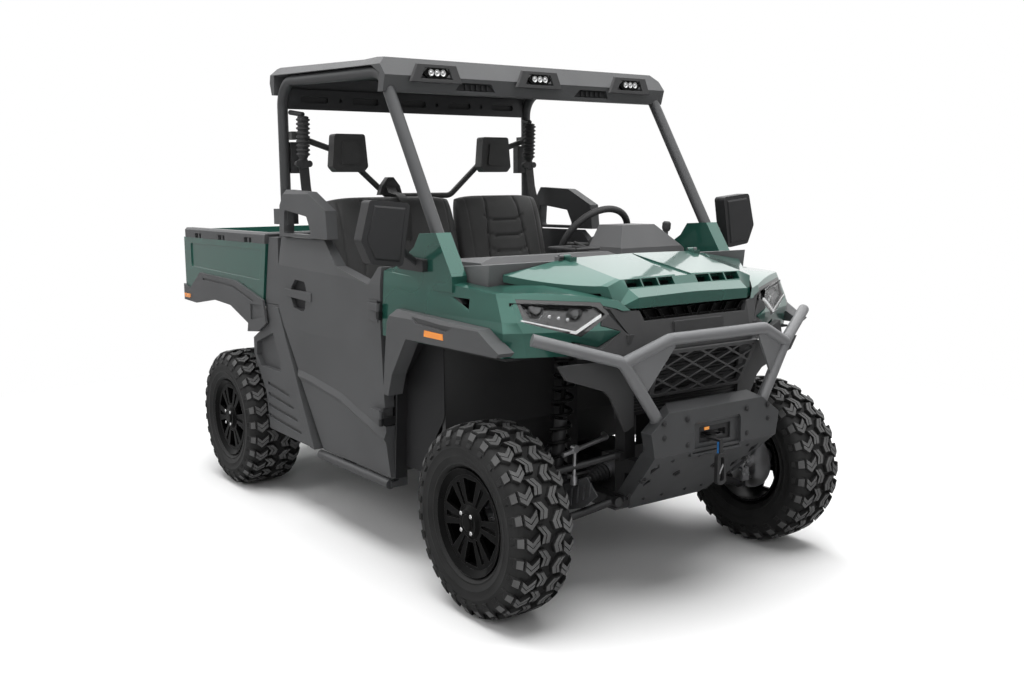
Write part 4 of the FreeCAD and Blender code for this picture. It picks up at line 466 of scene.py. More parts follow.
class Shape:
    """Vertices and faces gathered from simple solids."""

    def __init__(self):
        self.verts = []
        self.faces = []
        self.lighter_tops = []

    def add(self, verts, faces):
        start = len(self.verts)
        self.verts += [Vector(v) for v in verts]
        self.faces += [tuple(i + start for i in face) for face in faces]

    def loft(self, rings, closed=False):
        """Skin over rings of points, each with the same count."""
        count = len(rings[0])
        faces = []
        last = len(rings) if closed else len(rings) - 1
        for j in range(last):
            upper = ((j + 1) % len(rings)) * count
            for i in range(count):
                k = (i + 1) % count
                faces.append((j * count + i, j * count + k, upper + k, upper + i))
        if not closed:
            faces.append(tuple(range(count - 1, -1, -1)))
            faces.append(tuple((len(rings) - 1) * count + i for i in range(count)))
        self.add([point for ring in rings for point in ring], faces)

    def prism(self, ring, direction):
        self.loft([ring, [point + direction for point in ring]])

    def slab(self, low, high):
        """A block between two corners."""
        corners = ((low.x, low.y), (high.x, low.y), (high.x, high.y), (low.x, high.y))
        self.prism([Vector((x, y, low.z)) for x, y in corners], UP * (high.z - low.z))

    def tube(self, points, radius, sides=12):
        """A round bar along points, turned as little as possible from one to the next."""
        rings = []
        heading = (points[1] - points[0]).normalized()
        first, second = frame_of(heading)
        for i, point in enumerate(points):
            before = points[max(i - 1, 0)]
            after = points[min(i + 1, len(points) - 1)]
            axis = (after - before).normalized()
            first = (first - axis * first.dot(axis)).normalized()
            second = axis.cross(first)
            rings.append(ring_around(point, first, second, radius, sides))
        self.loft(rings)

    def turned(self, origin, axis, profile, sides):
        """A solid of revolution: profile has (distance along the axis, radius)."""
        axis = axis.normalized()
        first, second = frame_of(axis)
        self.loft([ring_around(origin + axis * distance, first, second, radius, sides)
                   for distance, radius in profile])

    def bolt(self, place, normal, radius, height):
        """A washer with a hexagon head on it."""
        washer = radius * WASHER_RATIO
        seat = height * WASHER_SHARE
        self.turned(place, normal, [(-WASHER_ROOT, washer), (seat, washer)], 16)
        self.turned(place, normal, [(seat, radius), (height * 0.9, radius), (height, radius * 0.85)], 6)

    def mirror(self):
        """Adds the mirror image across the middle of the vehicle."""
        count = len(self.verts)
        self.verts += [Vector((v.x, -v.y, v.z)) for v in self.verts]
        self.faces += [tuple(i + count for i in reversed(face)) for face in self.faces]
        return self


def build(name, shape, body="root", slot="black_plastic", finish=None, smooth_angle=35.0):
    """Makes a piece of a shape, dressed and riding on its body."""
    mesh = bpy.data.meshes.new(name)
    mesh.from_pydata([tuple(v) for v in shape.verts], [], shape.faces)
    mesh.update()
    mesh.shade_smooth()
    mesh.set_sharp_from_angle(angle=math.radians(smooth_angle))
    thing = bpy.data.objects.new(name, mesh)
    bpy.context.collection.objects.link(thing)
    dress(thing, finish or finishes[slot])
    # The lug tops get the lighter rubber.
    if shape.lighter_tops:
        mesh.materials.append(LIGHTER_TOP_RUBBER)
        for index in shape.lighter_tops:
            mesh.polygons[index].material_index = 1
    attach(thing, body)
    return thing


def carcass_profile(half):
    """Section of the tyre from its left bead over the tread to its right bead, as (radius, y)."""
    inset = [(188, 30), (192, 24), (200, 15), (207, 8), (213, 10), (228, 4), (234, 1), (240, 3), (258, 0),
             (264, -1.5), (270, 0), (288, 3), (302, 9), (312, 18), (319, 31), (323, 50), (325, 80)]
    left = [(radius, half - y) for radius, y in inset] + [(326, 14)]
    return left + [(radius, -y) for radius, y in reversed(left)]


def tread_floor(half, reach):
    """Radius of the tread's floor at a distance from the tyre's middle."""
    steps = [(0, 326), (half - 80, 325), (half - 50, 323), (half - 31, 319), (half - 18, 312),
             (half - 9, 302), (half - 3, 288)]
    reach = abs(reach)
    for (y0, r0), (y1, r1) in zip(steps, steps[1:]):
        if reach <= y1:
            return r0 + (r1 - r0) * (reach - y0) / (y1 - y0)
    return steps[-1][1]


def stroke(path, low, high, sideways=False):
    """Outline of a band along a path of (across, round) points, between two shifts."""
    def shifted(shift):
        return [(v + shift, u) if sideways else (v, u + shift) for v, u in path]
    return shifted(low) + list(reversed(shifted(high)))


def tread_lugs():
    """Outlines of one pitch of tread on the outer half, as (across, round) points with a height."""
    shoulder = [(97, -14), (77, 6), (47, -22)]
    middle = [(42, -46), (19, -14), (28, 16)]
    return [(stroke(shoulder, 0, 18), 1.0), (stroke(shoulder, 20.5, 38), 1.0),
            (stroke(middle, -15, 1, True), 1.0), (stroke(middle, 3, 15, True), 1.0),
            ([(101, -13), (115, -9), (115, 26), (101, 24)], 0.85)]


def tyre_places(axle_x, side, width):
    """A function from (radius, distance from the tyre's middle, angle) to a place on one tyre."""
    centre_y = side * (HALF_WIDTH - width / 2)

    def spot(radius, y, angle):
        return Vector(((axle_x + radius * math.sin(angle)) * MM, (centre_y + side * y) * MM,
                       (AXLE_Z + radius * math.cos(angle)) * MM))
    return spot


def add_lug(shape, spot, half, outline, height, flank, start):
    """One lug: a wide foot below the tread's floor, its walls, and a smaller top in a lighter rubber."""
    middle_v = sum(v for v, _ in outline) / len(outline)
    middle_u = sum(u for _, u in outline) / len(outline)
    levels = []
    for spread, lift in ((LUG_DRAFT, -LUG_ROOT), (1.0, height - LUG_STEP), (LUG_TOP, height)):
        ring = []
        for v, u in outline:
            v = middle_v + (v - middle_v) * spread
            u = middle_u + (u - middle_u) * spread
            radius = min(tread_floor(half, v) + lift, TYRE_RADIUS)
            ring.append(spot(radius, flank * v, start + u / TYRE_RADIUS))
        levels.append(ring)
    shape.loft(levels)
    shape.lighter_tops.append(len(shape.faces) - 1)


def add_rib(shape, spot, half, flank, start):
    """A short rib that runs from the shoulder down the sidewall."""
    corners = ((274, half - 3, -17), (317, half - 27, -17), (317, half - 27, 17), (274, half - 3, 17))
    foot = [spot(radius, flank * y, start + (u + RIB_SHIFT) / TYRE_RADIUS) for radius, y, u in corners]
    top = [spot(radius + 3, flank * (y + RIB_HEIGHT), start + (u * RIB_TOP + RIB_SHIFT) / TYRE_RADIUS)
           for radius, y, u in corners]
    shape.loft([foot, top])


def tyre_shape(axle_x, side, width):
    """A mud tyre: a ribbed carcass, staggered V-shaped lugs and short ribs down its shoulders."""
    half = width / 2
    grow = half / (FRONT_WIDTH / 2)
    spot = tyre_places(axle_x, side, width)
    shape = Shape()
    rings = []
    for k in range(CARCASS_STEPS):
        angle = side * 2 * math.pi * k / CARCASS_STEPS
        rings.append([spot(radius, y, angle) for radius, y in carcass_profile(half)])
    shape.loft(rings, closed=True)
    pitch = 2 * math.pi / PITCHES
    for k in range(2 * PITCHES):
        flank = 1 if k % 2 else -1
        start = k * pitch / 2
        for outline, share in tread_lugs():
            outline = [(v * grow, u) for v, u in outline]
            add_lug(shape, spot, half, outline, LUG_HEIGHT * share, flank, start)
        add_rib(shape, spot, half, flank, start)
    return shape


def hub_cap(face, out):
    """The round cap in the middle of a rim."""
    cap = Shape()
    cap.turned(face - out * 0.006, out, [(0.0, 0.030), (0.006, 0.030), (0.009, 0.026), (0.0095, 0.020)], 32)
    return cap


def lug_nuts(face, out):
    """Hexagon nuts around the cap."""
    nuts = Shape()
    for k in range(NUTS):
        turn = math.pi * (0.25 + k / 2)
        place = face + Vector((math.cos(turn), 0, math.sin(turn))) * NUT_CIRCLE - out * 0.004
        nuts.turned(place, out, [(0.0, 0.0085), (0.009, 0.0085), (0.011, 0.006)], 6)
    return nuts


def make_wheels():
    """Tyres with their tread, hub caps and lug nuts."""
    for end, axle_x, width in (("front", FRONT_AXLE_X, FRONT_WIDTH), ("rear", REAR_AXLE_X, REAR_WIDTH)):
        for name, side in (("left", 1), ("right", -1)):
            body = f"wheel_{end}_{name}"
            shape = tyre_shape(axle_x, side, width)
            tyre = build(f"tread_{end}_{name}", shape, body, "tyre_rubber", smooth_angle=TREAD_ANGLE)
            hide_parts(f"tyre_{end}_{name}")
            out = Vector((0, side, 0))
            face = Vector((axle_x * MM, side * (HALF_WIDTH - HUB_INSET) * MM, AXLE_Z * MM))
            build(f"hub_cap_{end}_{name}", hub_cap(face, out), body, "rim_black")
            build(f"lug_nuts_{end}_{name}", lug_nuts(face, out), body, "bright_steel", CHROME)


def pad_shape(origin, up, out, size, depth, grooves, bow):
    """A stuffed pad: two crowned skins that meet in a seam, with sewn channels pressed into the front one.

    Each groove has a function of a place, in metres from the middle, and its channel's width and depth.
    """
    shape = Shape()
    half_w, half_h = size[0] / 2, size[1] / 2

    def skin(front):
        grid = []
        for j in range(PAD_STEPS + 1):
            v = math.sin((j / PAD_STEPS - 0.5) * math.pi)
            for i in range(PAD_STEPS + 1):
                u = math.sin((i / PAD_STEPS - 0.5) * math.pi)
                edge = (max(0.0, 1 - abs(u) ** PAD_CORNER) * max(0.0, 1 - abs(v) ** PAD_CORNER)) ** PAD_SEAM
                x = u * half_w * (1 - 0.05 * abs(v) ** 5)
                y = v * half_h * (1 - 0.04 * abs(u) ** 5)
                rise = edge * depth / 2
                if front:
                    rise += edge * bow * (1 - u * u) * (1 - v * v)
                    for groove, wide, deep in grooves:
                        rise -= edge * deep * math.exp(-(groove(x, y) / wide) ** 2)
                else:
                    rise = -rise
                grid.append(origin + LEFT * x + up * y + out * rise)
        return grid

    for front in (True, False):
        faces = []
        for j in range(PAD_STEPS):
            for i in range(PAD_STEPS):
                a = j * (PAD_STEPS + 1) + i
                quad = (a, a + 1, a + PAD_STEPS + 2, a + PAD_STEPS + 1)
                faces.append(quad if front else tuple(reversed(quad)))
        shape.add(skin(front), faces)
    return shape


def curved_seam(middle, level, half, rise):
    """Distance from a seam that runs level in its middle and turns up towards its ends."""
    def distance(x, y):
        t = abs(x - middle) / half
        if t > 1.05:
            return 1.0
        return y - (level + rise * max(0.0, t - 0.45) ** 1.5)
    return distance


def upright_seam(x0, lean=0.0):
    """Distance from a straight seam that crosses the middle at x0."""
    return lambda x, y: x - x0 - lean * y


def back_seams(width, centre, reach):
    """Channels of a seat back: two leaning ones, curved ones between them, and one along each side."""
    seams = [(upright_seam(centre + sign * reach, -0.10 * sign), 0.0042, 0.010) for sign in (-1, 1)]
    levels = (0.23, 0.15, 0.07, -0.03)
    seams += [(curved_seam(centre, level, 0.115, 0.06), 0.004, 0.009) for level in levels]
    seams += [(upright_seam(sign * (width / 2 - 0.055)), 0.0035, 0.005) for sign in (-1, 1)]
    return seams


def cushion_seams(centre, reach):
    """Channels of a cushion: two straight ones and three curved ones across."""
    seams = [(upright_seam(centre + sign * reach), 0.0045, 0.009) for sign in (-1, 1)]
    return seams + [(curved_seam(centre, level, 0.12, 0.04), 0.004, 0.007) for level in (0.09, 0.0, -0.09)]


def make_back(name, y, width, seams):
    up = Vector((-math.sin(SEAT_LEAN), 0, math.cos(SEAT_LEAN)))
    out = Vector((math.cos(SEAT_LEAN), 0, math.sin(SEAT_LEAN)))
    shape = pad_shape(at(-1332, y, 1090), up, out, (width, 0.735), 0.105, seams, 0.012)
    back = build(f"{name}_back", shape, "root", "seat_fabric", smooth_angle=SEAT_ANGLE)
    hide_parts("seat_backs")


def make_cushion(name, y, width, seams):
    rearward = Vector((-1, 0, -0.04)).normalized()
    out = Vector((-0.04, 0, 1)).normalized()
    shape = pad_shape(at(-980, y, 756), rearward, out, (width, 0.455), 0.115, seams, 0.006)
    shape.faces = [tuple(reversed(face)) for face in shape.faces]
    cushion = build(f"{name}_cushion", shape, "root", "seat_fabric", smooth_angle=SEAT_ANGLE)
    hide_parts("seat_cushions")


def make_seats():
    """Padded backs and cushions: a wide passenger bench and the driver's seat."""
    for name, right, left, centre, reach in SEATS:
        middle = (right + left) / 2
        width = (left - right) * MM
        make_back(name, middle, width, back_seams(width, centre, reach))
        make_cushion(name, middle, width, cushion_seams(centre, reach))


def strap(points, width):
    """A flat belt along points."""
    shape = Shape()
    rings = []
    edge = LEFT * width / 2
    for i, point in enumerate(points):
        heading = (points[min(i + 1, len(points) - 1)] - points[max(i - 1, 0)]).normalized()
        normal = heading.cross(LEFT).normalized() * BELT_HALF_THICKNESS
        rings.append([point - edge - normal, point + edge - normal, point + edge + normal,
                      point - edge + normal])
    shape.loft(rings)
    return shape


def route_length(points):
    return sum((b - a).length for a, b in zip(points, points[1:]))


def belt(name, points, width=BELT_WIDTH):
    """A strap of webbing that hangs over the bench or beside the seat."""
    piece = build(name, strap(points, width), "root", "black_plastic", WEBBING, BELT_ANGLE)
    route_length(points)


def bellows_shape(top, down, side):
    """A ribbed sleeve that hangs from a bar on the rear pillar."""
    shape = Shape()
    profile = [(0.0, 0.016), (0.004, 0.026)]
    for k in range(BELLOWS_RIBS):
        start = 0.010 + k * 0.019
        profile += [(start, 0.024), (start + 0.004, 0.031), (start + 0.010, 0.031), (start + 0.014, 0.024)]
    profile += [(0.185, 0.020), (0.195, 0.015)]
    shape.turned(top, down, profile, 24)
    shape.tube([top + Vector((-0.085, side * 0.022, 0.020)), top + UP * 0.006], 0.011)
    return shape


def make_side_belt(name, side):
    """A ribbed sleeve at a rear pillar, the guide at its foot, and the belt down from it."""
    top = at(-1508, side * 640.0, 1812)
    down = Vector((-0.06, 0, -1)).normalized()
    bellows = bellows_shape(top, down, side)
    end = top + down * 0.20
    ring = [(0.0, 0.030), (0.018, 0.030), (0.022, 0.024)]
    bellows.turned(end - Vector((0.012, 0, 0.012)), AHEAD, ring, 6)
    for y in (-0.026, 0.026):
        bellows.turned(end + Vector((-0.008, y, -0.012)), AHEAD, [(0.0, 0.015), (0.02, 0.015)], 16)
    build(f"belt_bellows_{name}", bellows)
    run = ((0.004, 0.0, -0.02), (0.02, 0.0, -0.12), (0.055, 0.0, -0.22), (0.09, -0.006, -0.31),
           (0.098, -0.010, -0.40))
    belt(f"belt_{name}", [end + Vector((x, side * y, z)) for x, y, z in run])


def make_middle_belt():
    """The guide between the headrests and the belt over the bench's back."""
    hub = at(-1560, -190, 1478)
    guide = Shape()
    corners = ((-62, -22), (62, -22), (48, 22), (14, 62), (-14, 62), (-48, 22))
    guide.prism([hub + Vector((0.012, y * MM, z * MM)) for y, z in corners], AHEAD * 0.034)
    guide.turned(hub + Vector((0.046, 0, 0.022)), AHEAD, [(0.0, 0.026), (0.006, 0.026), (0.009, 0.018)], 20)
    for y in (0.042, -0.042):
        guide.bolt(hub + Vector((0.046, y, 0.0)), AHEAD, 0.007, 0.005)
    build("belt_guide_middle", guide)
    start = hub + Vector((0.052, -0.005, 0.02))
    run = ((0.0, 0.0, 0.0), (0.03, -0.008, -0.03), (0.12, -0.02, -0.04), (0.178, -0.026, -0.075),
           (0.200, -0.034, -0.15), (0.215, -0.045, -0.24))
    belt("belt_middle", [start + Vector(step) for step in run])


def make_belts():
    for name, side in (("left", 1.0), ("right", -1.0)):
        make_side_belt(name, side)
    make_middle_belt()


def coil(shape, foot, head, radius, wire, turns):
    """A coil spring between two places."""
    axis = head - foot
    first, second = frame_of(axis.normalized())
    points = []
    steps = int(turns * COIL_STEPS)
    for k in range(steps + 1):
        turn = 2 * math.pi * turns * k / steps
        across = first * math.cos(turn) + second * math.sin(turn)
        points.append(foot + axis * (k / steps) + across * radius)
    shape.tube(points, wire, 8)


def make_shocks():
    """Coil-over shocks: springs, damper bodies with spring seats, and rods."""
    springs, bodies, rods = Shape(), Shape(), Shape()
    for axle_x, top in ((FRONT_AXLE_X, 929.6), (REAR_AXLE_X, 884.6)):
        foot = Vector(((axle_x + 22) * MM, 0.440, 0.3135))
        head = Vector(((axle_x + 22) * MM, 0.368, top * MM))
        axis = head - foot
        length = axis.length
        coil(springs, foot + axis * 0.24, foot + axis * 0.92, 0.0355, 0.0070, 8.5)
        lower = [(0.20, 0.016), (0.205, 0.041), (0.235, 0.041), (0.24, 0.024), (0.56, 0.024),
                 (0.565, 0.014)]
        upper = [(0.92, 0.041), (0.95, 0.041), (0.955, 0.026), (0.995, 0.026)]
        bodies.turned(foot, axis, [(0.004, 0.016)] + [(length * share, r) for share, r in lower], 28)
        bodies.turned(foot, axis, [(length * share, r) for share, r in upper], 28)
        rods.turned(foot, axis, [(length * 0.55, 0.009), (length * 0.93, 0.009)], 18)
    pieces = (("springs", springs, "black_steel", GLOSS_PLASTIC),
              ("damper_bodies", bodies, "black_steel", None),
              ("damper_rods", rods, "bright_steel", GLOSS_PLASTIC))
    for name, shape, slot, finish in pieces:
        thing = build(name, shape.mirror(), "root", slot, finish)
        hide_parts("shock_absorbers")


def make_joint_boots():
    """Ribbed boots over both ends of each drive shaft."""
    boots = Shape()
    for axle_x, inner_y in ((FRONT_AXLE_X, 110.0), (REAR_AXLE_X, 190.0)):
        start = Vector(((axle_x - 55) * MM, inner_y * MM, (AXLE_Z + 62) * MM))
        end = Vector((axle_x * MM, 0.590, AXLE_Z * MM))
        axis = (end - start).normalized()
        length = (end - start).length
        for origin, way in ((start + axis * 0.018, 1), (start + axis * (length - 0.034), -1)):
            profile = [(0.0, 0.034)]
            for k in range(BOOT_RIBS):
                profile += [(0.010 + k * 0.014, 0.036 - k * 0.004), (0.016 + k * 0.014, 0.030 - k * 0.004)]
            profile += [(0.084, 0.0145)]
            boots.turned(origin, axis * way, profile, 22)
    build("joint_boots", boots.mirror())


def make_sway_bar():
    """The sway bar above the front arms, with its links."""
    bar = Shape()
    bar.tube([at(100, 250, 585), at(100, 455, 550)], 0.009, 14)
    bar.tube([at(100, 250, 585), at(60, 232, 588)], 0.009, 14)
    bar.tube([at(100, 400, 566), at(98, 402, 446)], 0.007, 12)
    bar.turned(at(98, 402, 446) - UP * 0.012, UP, [(0.0, 0.013), (0.03, 0.013)], 16)
    bar.turned(at(92, 400, 566), AHEAD, [(0.0, 0.014), (0.02, 0.014)], 16)
    build("sway_bar", bar.mirror(), "root", "bright_steel")


def make_arm_guards():
    """Plastic guards in front of the front arms, with slanting ribs."""
    guards = Shape()
    outline = [(-25, 393), (144, 468), (203, 412), (123, 349), (4, 312)]
    guards.prism(side_ring(outline, 378), LEFT * 0.006)
    for k in range(GUARD_RIBS):
        low, high = 18 + k * 34, 38 + k * 34
        foot, head = 322 + k * 19, 398 + k * 14
        ring = [(low, foot), (low + 12, foot + 4), (high, head), (high - 12, head - 5)]
        guards.prism(side_ring(ring, 384), LEFT * 0.005)
    build("arm_guards", guards.mirror(), finish=finishes["dark_plastic"])


def lamp_ring(lift):
    """Corners of the left headlight's front, on the swept corner of the body."""
    corners = [(95, 681, 1106), (158, 560, 1101), (232, 430, 1093), (253, 404, 1057), (224, 494, 989),
               (132, 668, 1041)]
    return [at(station + lift, y + lift * LAMP_SWEEP, z) for station, y, z in corners]


def make_lamp_covers():
    ring = lamp_ring(5.0)
    middle = sum(ring, Vector()) / len(ring)
    inner = [middle + (point - middle) * 0.72 + Vector((0.006, 0.003, 0)) for point in ring]
    back = [point - Vector((0.0025, 0.001, 0)) for point in ring]
    cover = Shape()
    cover.loft([back, ring, inner])
    build("lamp_covers", cover.mirror(), "root", "lamp_lens")


def make_projectors(heading):
    """Two ringed projectors in each headlight, each a dark eye in a cup."""
    ring = [(-0.014, 0.024), (0.006, 0.026), (0.009, 0.025), (0.007, 0.022), (-0.006, 0.019)]
    eye = [(-0.010, 0.019), (0.000, 0.0186), (0.005, 0.015), (0.008, 0.0095), (0.0095, 0.003)]
    cup = [(-0.020, 0.032), (-0.012, 0.034), (-0.011, 0.028)]
    pieces = (("rings", ring, CHROME), ("eyes", eye, GLOSS_PLASTIC), ("cups", cup, SMOKED_CHROME))
    for name, profile, finish in pieces:
        shape = Shape()
        for station, y, z in ((141, 606, 1070), (196, 487, 1056)):
            shape.turned(at(station, y, z) - heading * 0.010, heading, profile, 32)
        build(f"projector_{name}", shape.mirror(), "root", "lamp_lens", finish)


def make_headlights():
    """Clear covers, projectors, the white light guide along the lower edge, the dark brow and its cells."""
    make_lamp_covers()
    heading = Vector((1, LAMP_TURN, 0)).normalized()
    make_projectors(heading)
    rise = UP * 0.010
    front = heading * 0.008
    guide = Shape()
    tip, low, outer = at(244, 408, 1050), at(216, 494, 996), at(130, 660, 1040)
    for a, b in ((tip, low), (low, outer)):
        guide.prism([a, b, b + rise, a + rise], front)
    build("light_guides", guide.mirror(), "root", "lamp_lens", LIGHT_GUIDE)
    brow = Shape()
    a, b = at(92, 680, 1104), at(226, 434, 1088)
    brow.prism([a, b, b - rise * 1.1, a - rise * 1.1], front)
    build("lamp_brows", brow.mirror(), "root", "lamp_lens", GLOSS_PLASTIC)
    cells = Shape()
    for k in range(LAMP_CELLS):
        place = a + (b - a) * (0.16 + 0.11 * k) - rise * (3.1 + 0.4 * k)
        cells.turned(place, heading, [(0.0, 0.0075), (0.004, 0.0075), (0.006, 0.005)], 6)
    build("lamp_cells", cells.mirror(), "root", "lamp_lens", CHROME)


def make_lamp_pods():
    """A rounded frame around each roof lamp."""
    pods = Shape()
    corners = ((-122, -36), (122, -36), (92, 34), (-92, 34))
    for middle in ROOF_LAMPS:
        rings = []
        for grow, station in ((1.0, -612), (0.95, -603), (0.60, -603), (0.56, -611)):
            rings.append(front_ring([(middle + y * grow, 1922 + z * grow) for y, z in corners], station))
        pods.loft(rings, closed=True)
    build("roof_lamp_pods", pods)


def make_roof_vents():
    """Louvres in the roof's front openings."""
    vents = Shape()
    outline = [(212, 1867), (392, 1867), (376, 1891), (236, 1891)]
    vents.prism(front_ring(outline, -641), AHEAD * 0.003)
    for k in range(ROOF_LOUVRES):
        vents.slab(at(-638, 244 + k * 26, 1869), at(-630, 250 + k * 26, 1889))
    build("roof_vents", vents.mirror(), finish=LINER_FINISH)


def make_roof_lamps():
    """A bezel, bright light cells and a clear cover for each roof lamp."""
    bezels, cells, covers = Shape(), Shape(), Shape()
    outline = [(-62, 0), (-40, -19), (40, -19), (62, 0), (40, 19), (-40, 19)]
    cell = [(0.0, 0.0125), (0.0035, 0.0125), (0.0015, 0.007), (0.003, 0.003)]
    for middle in ROOF_LAMPS:
        inner = [(middle + y * 0.92, ROOF_LAMP_Z + z * 0.86) for y, z in outline]
        covers.prism(front_ring(inner, ROOF_LAMP_FRONT), AHEAD * 0.004)
        outer = [(middle + y, ROOF_LAMP_Z + z) for y, z in outline]
        bezels.prism(front_ring(outer, ROOF_LAMP_FRONT), AHEAD * 0.0015)
        for y in (-27.0, 0.0, 27.0):
            cells.turned(at(ROOF_LAMP_FRONT, middle + y, ROOF_LAMP_Z), AHEAD, cell, 20)
    pieces = (("bezels", bezels, GLOSS_PLASTIC), ("cells", cells, CHROME), ("covers", covers, None))
    for name, shape, finish in pieces:
        build(f"roof_lamp_{name}", shape, "root", "lamp_lens", finish)


def make_markers():
    """Amber side markers on the front trim and on the bed's skirts."""
    places = (("side_markers", "root", 31.0, 0.006, ((-294, 958), (-166, 957), (-168, 979), (-290, 981))),
              ("bed_markers", "cargo_bed", 11.0, 0.004,
               ((-2845, 904), (-2760, 905), (-2756, 927), (-2850, 927))))
    for name, body, proud, depth, corners in places:
        shape = Shape()
        shape.prism(side_ring(corners, BODY_HALF + proud), LEFT * depth)
        build(name, shape.mirror(), body, "tail_lens", AMBER)


def make_plate_bolts():
    """Bolts on the bumper plate's upright front and on the slope below it."""
    plate = Shape()
    slope = Vector((1, 0, -1)).normalized()
    large, small = (0.011, 0.009), (0.006, 0.005)
    places = ((262, 470, large), (96, 470, large), (262, 400, small), (150, 360, small), (60, 360, small),
              (190, 545, small), (60, 545, small))
    for y, z, size in places:
        plate.bolt(at(PLATE_FRONT - (PLATE_FOLD_Z - z), y, z), slope, *size)
    for y, z in ((150, 690), (150, 600), (262, 640), (262, 690)):
        plate.bolt(at(PLATE_FRONT, y, z), AHEAD, 0.007, 0.005)
    build("plate_bolts", plate.mirror(), "root", "black_steel")


def make_door_trim():
    """The hinge cover on each door's front edge, and a near-black sheet in its pocket: painted shade."""
    cover_ring = [(-763, 974), (-680, 968), (-680, 1056), (-759, 1052)]
    pocket = [(-1468, 1058), (-1432, 1089), (-1335, 1084), (-1319, 1045), (-1338, 959), (-1450, 961),
              (-1485, 1016)]
    middle_s = sum(station for station, _ in pocket) / len(pocket)
    middle_z = sum(z for _, z in pocket) / len(pocket)
    smaller = [(middle_s + (station - middle_s) * POCKET_SHADE_SHARE, middle_z + (z - middle_z) * POCKET_SHADE_SHARE)
               for station, z in pocket]
    for name, side in (("door_left", 1), ("door_right", -1)):
        cover = Shape()
        cover.prism(side_ring(cover_ring, side * 745), LEFT * side * 0.004)
        build(f"{name}_covers", cover, name, "dark_plastic")
        # A near-black sheet in the pocket: painted shade.
        shade_sheet = Shape()
        shade_sheet.prism(side_ring(smaller, side * 725.3), LEFT * side * 0.0015)
        build(f"{name}_pocket_shade", shade_sheet, name, "black_plastic", LINER_FINISH)


def make_roof_bolts():
    roof = Shape()
    for y in (-560, -300, 300, 560):
        roof.bolt(at(-1560, y, 2036), UP, 0.007, 0.005)
    build("roof_bolts", roof, "root", "black_steel")


def make_winch_trim():
    """Blue strap over the hook, a small amber tag and the hook's latch."""
    loop = Shape()
    loop.slab(at(434, -34, 545), at(441, -14, 600))
    build("winch_strap", loop, "root", "black_steel", BLUE_STRAP)
    tag = Shape()
    tag.slab(at(399, -64, 640), at(402, -40, 650))
    build("winch_tag", tag, "root", "black_steel", AMBER)
    latch = Shape()
    latch.tube([at(442, -38, 470), at(444, -10, 520)], 0.003, 8)
    build("hook_latch", latch, "root", "bright_steel")


def make_mirrors():
    """Silvered glass in the mirrors' rear faces and a raised panel on their backs."""
    glass, panels = Shape(), Shape()
    outline = [(828, 1412), (946, 1424), (974, 1307), (948, 1247), (858, 1235)]
    glass.prism(front_ring(outline, -375.4), AHEAD * 0.0008)
    build("mirror_glass", glass.mirror(), finish=CHROME)
    rim = [(824, 1418), (950, 1430), (982, 1307), (952, 1241), (852, 1228)]
    raised = [(903 + (y - 903) * 0.93, 1325 + (z - 1325) * 0.93) for y, z in rim]
    panels.loft([front_ring(rim, -322), front_ring(raised, -317)])
    build("mirror_backs", panels.mirror(), finish=MIRROR_FINISH)


def add_vents(parts):
    """Three air vents with fins and a row of switches in the dash's rear face."""
    for y in (-430, -150, 120):
        parts.slab(at(-585, y, 1150), at(-572, y + 110, 1192))
        for k in range(4):
            parts.slab(at(-590, y + 6, 1154 + k * 10), at(-584, y + 104, 1158 + k * 10))
    for k in range(5):
        parts.slab(at(-606, 40 + k * 30, 1090), at(-594, 62 + k * 30, 1118))


def add_tray_and_lever(parts):
    """The lip around the dash tray, and the gear lever with its knob."""
    tray = [(-470, -60), (-470, 60), (-300, 60), (-300, -60)]
    for (s0, y0), (s1, y1) in zip(tray, tray[1:] + tray[:1]):
        parts.tube([at(s0, y0, 1240), at(s1, y1, 1240)], 0.006, 8)
    foot, head = at(-420, 545, 1215), at(-430, 560, 1300)
    parts.tube([foot, head], 0.010, 12)
    knob = [(0.0, 0.014), (0.012, 0.019), (0.034, 0.019), (0.042, 0.012)]
    parts.turned(head - UP * 0.01, Vector((0, 0.1, 1)), knob, 20)


def add_column(parts):
    """The housing behind the steering wheel and its stalk."""
    hub = at(-667, 350, 1239)
    down_column = Vector((0.8387, 0, -0.5446))
    start = hub + down_column * 0.05
    corners = ((-0.055, -0.030), (0.055, -0.030), (0.062, 0.020), (0.030, 0.044), (-0.030, 0.044),
               (-0.062, 0.020))
    ring = [Vector((0, y, z)) for y, z in corners]
    parts.loft([[start + v * 0.8 for v in ring], [start + down_column * 0.05 + v for v in ring],
                [start + down_column * 0.15 + v * 0.85 for v in ring]])
    stalk = [start + down_column * 0.04 + Vector((0, -0.05, 0.01)), start + Vector((0, -0.150, 0.035))]
    parts.tube(stalk, 0.008, 10)


def make_dash():
    """Instrument screen, vents, switches, tray lip, gear lever and the steering column's housing."""
    screen = Shape()
    corners = [at(-541, 262, 1240), at(-541, 430, 1240), at(-527, 424, 1306), at(-527, 268, 1306)]
    screen.prism(corners, AHEAD * -0.004)
    build("instrument_screen", screen, finish=GLOSS_PLASTIC)
    parts = Shape()
    add_vents(parts)
    add_tray_and_lever(parts)
    add_column(parts)
    build("dash_fittings", parts)


def make_bed_ribs():
    ribs = Shape()
    for k in range(BED_RIBS):
        y = (k - BED_RIBS // 2) * 140.0
        ribs.slab(at(-2740, y - 22, 959.8), at(-1860, y + 22, 964.0))
    build("bed_floor_ribs", ribs, "cargo_bed", "green_paint")


def make_seat_shells():
    """Plastic shells behind the seat backs."""
    shell = Shape()
    for y0, y1 in ((-590, 70), (98, 590)):
        ring = [at(-1352, y0, 760), at(-1352, y1, 760), at(-1488, y1 - 20, 1330), at(-1488, y0 + 20, 1330)]
        shell.prism(ring, AHEAD * -0.012)
    build("seat_shells", shell)


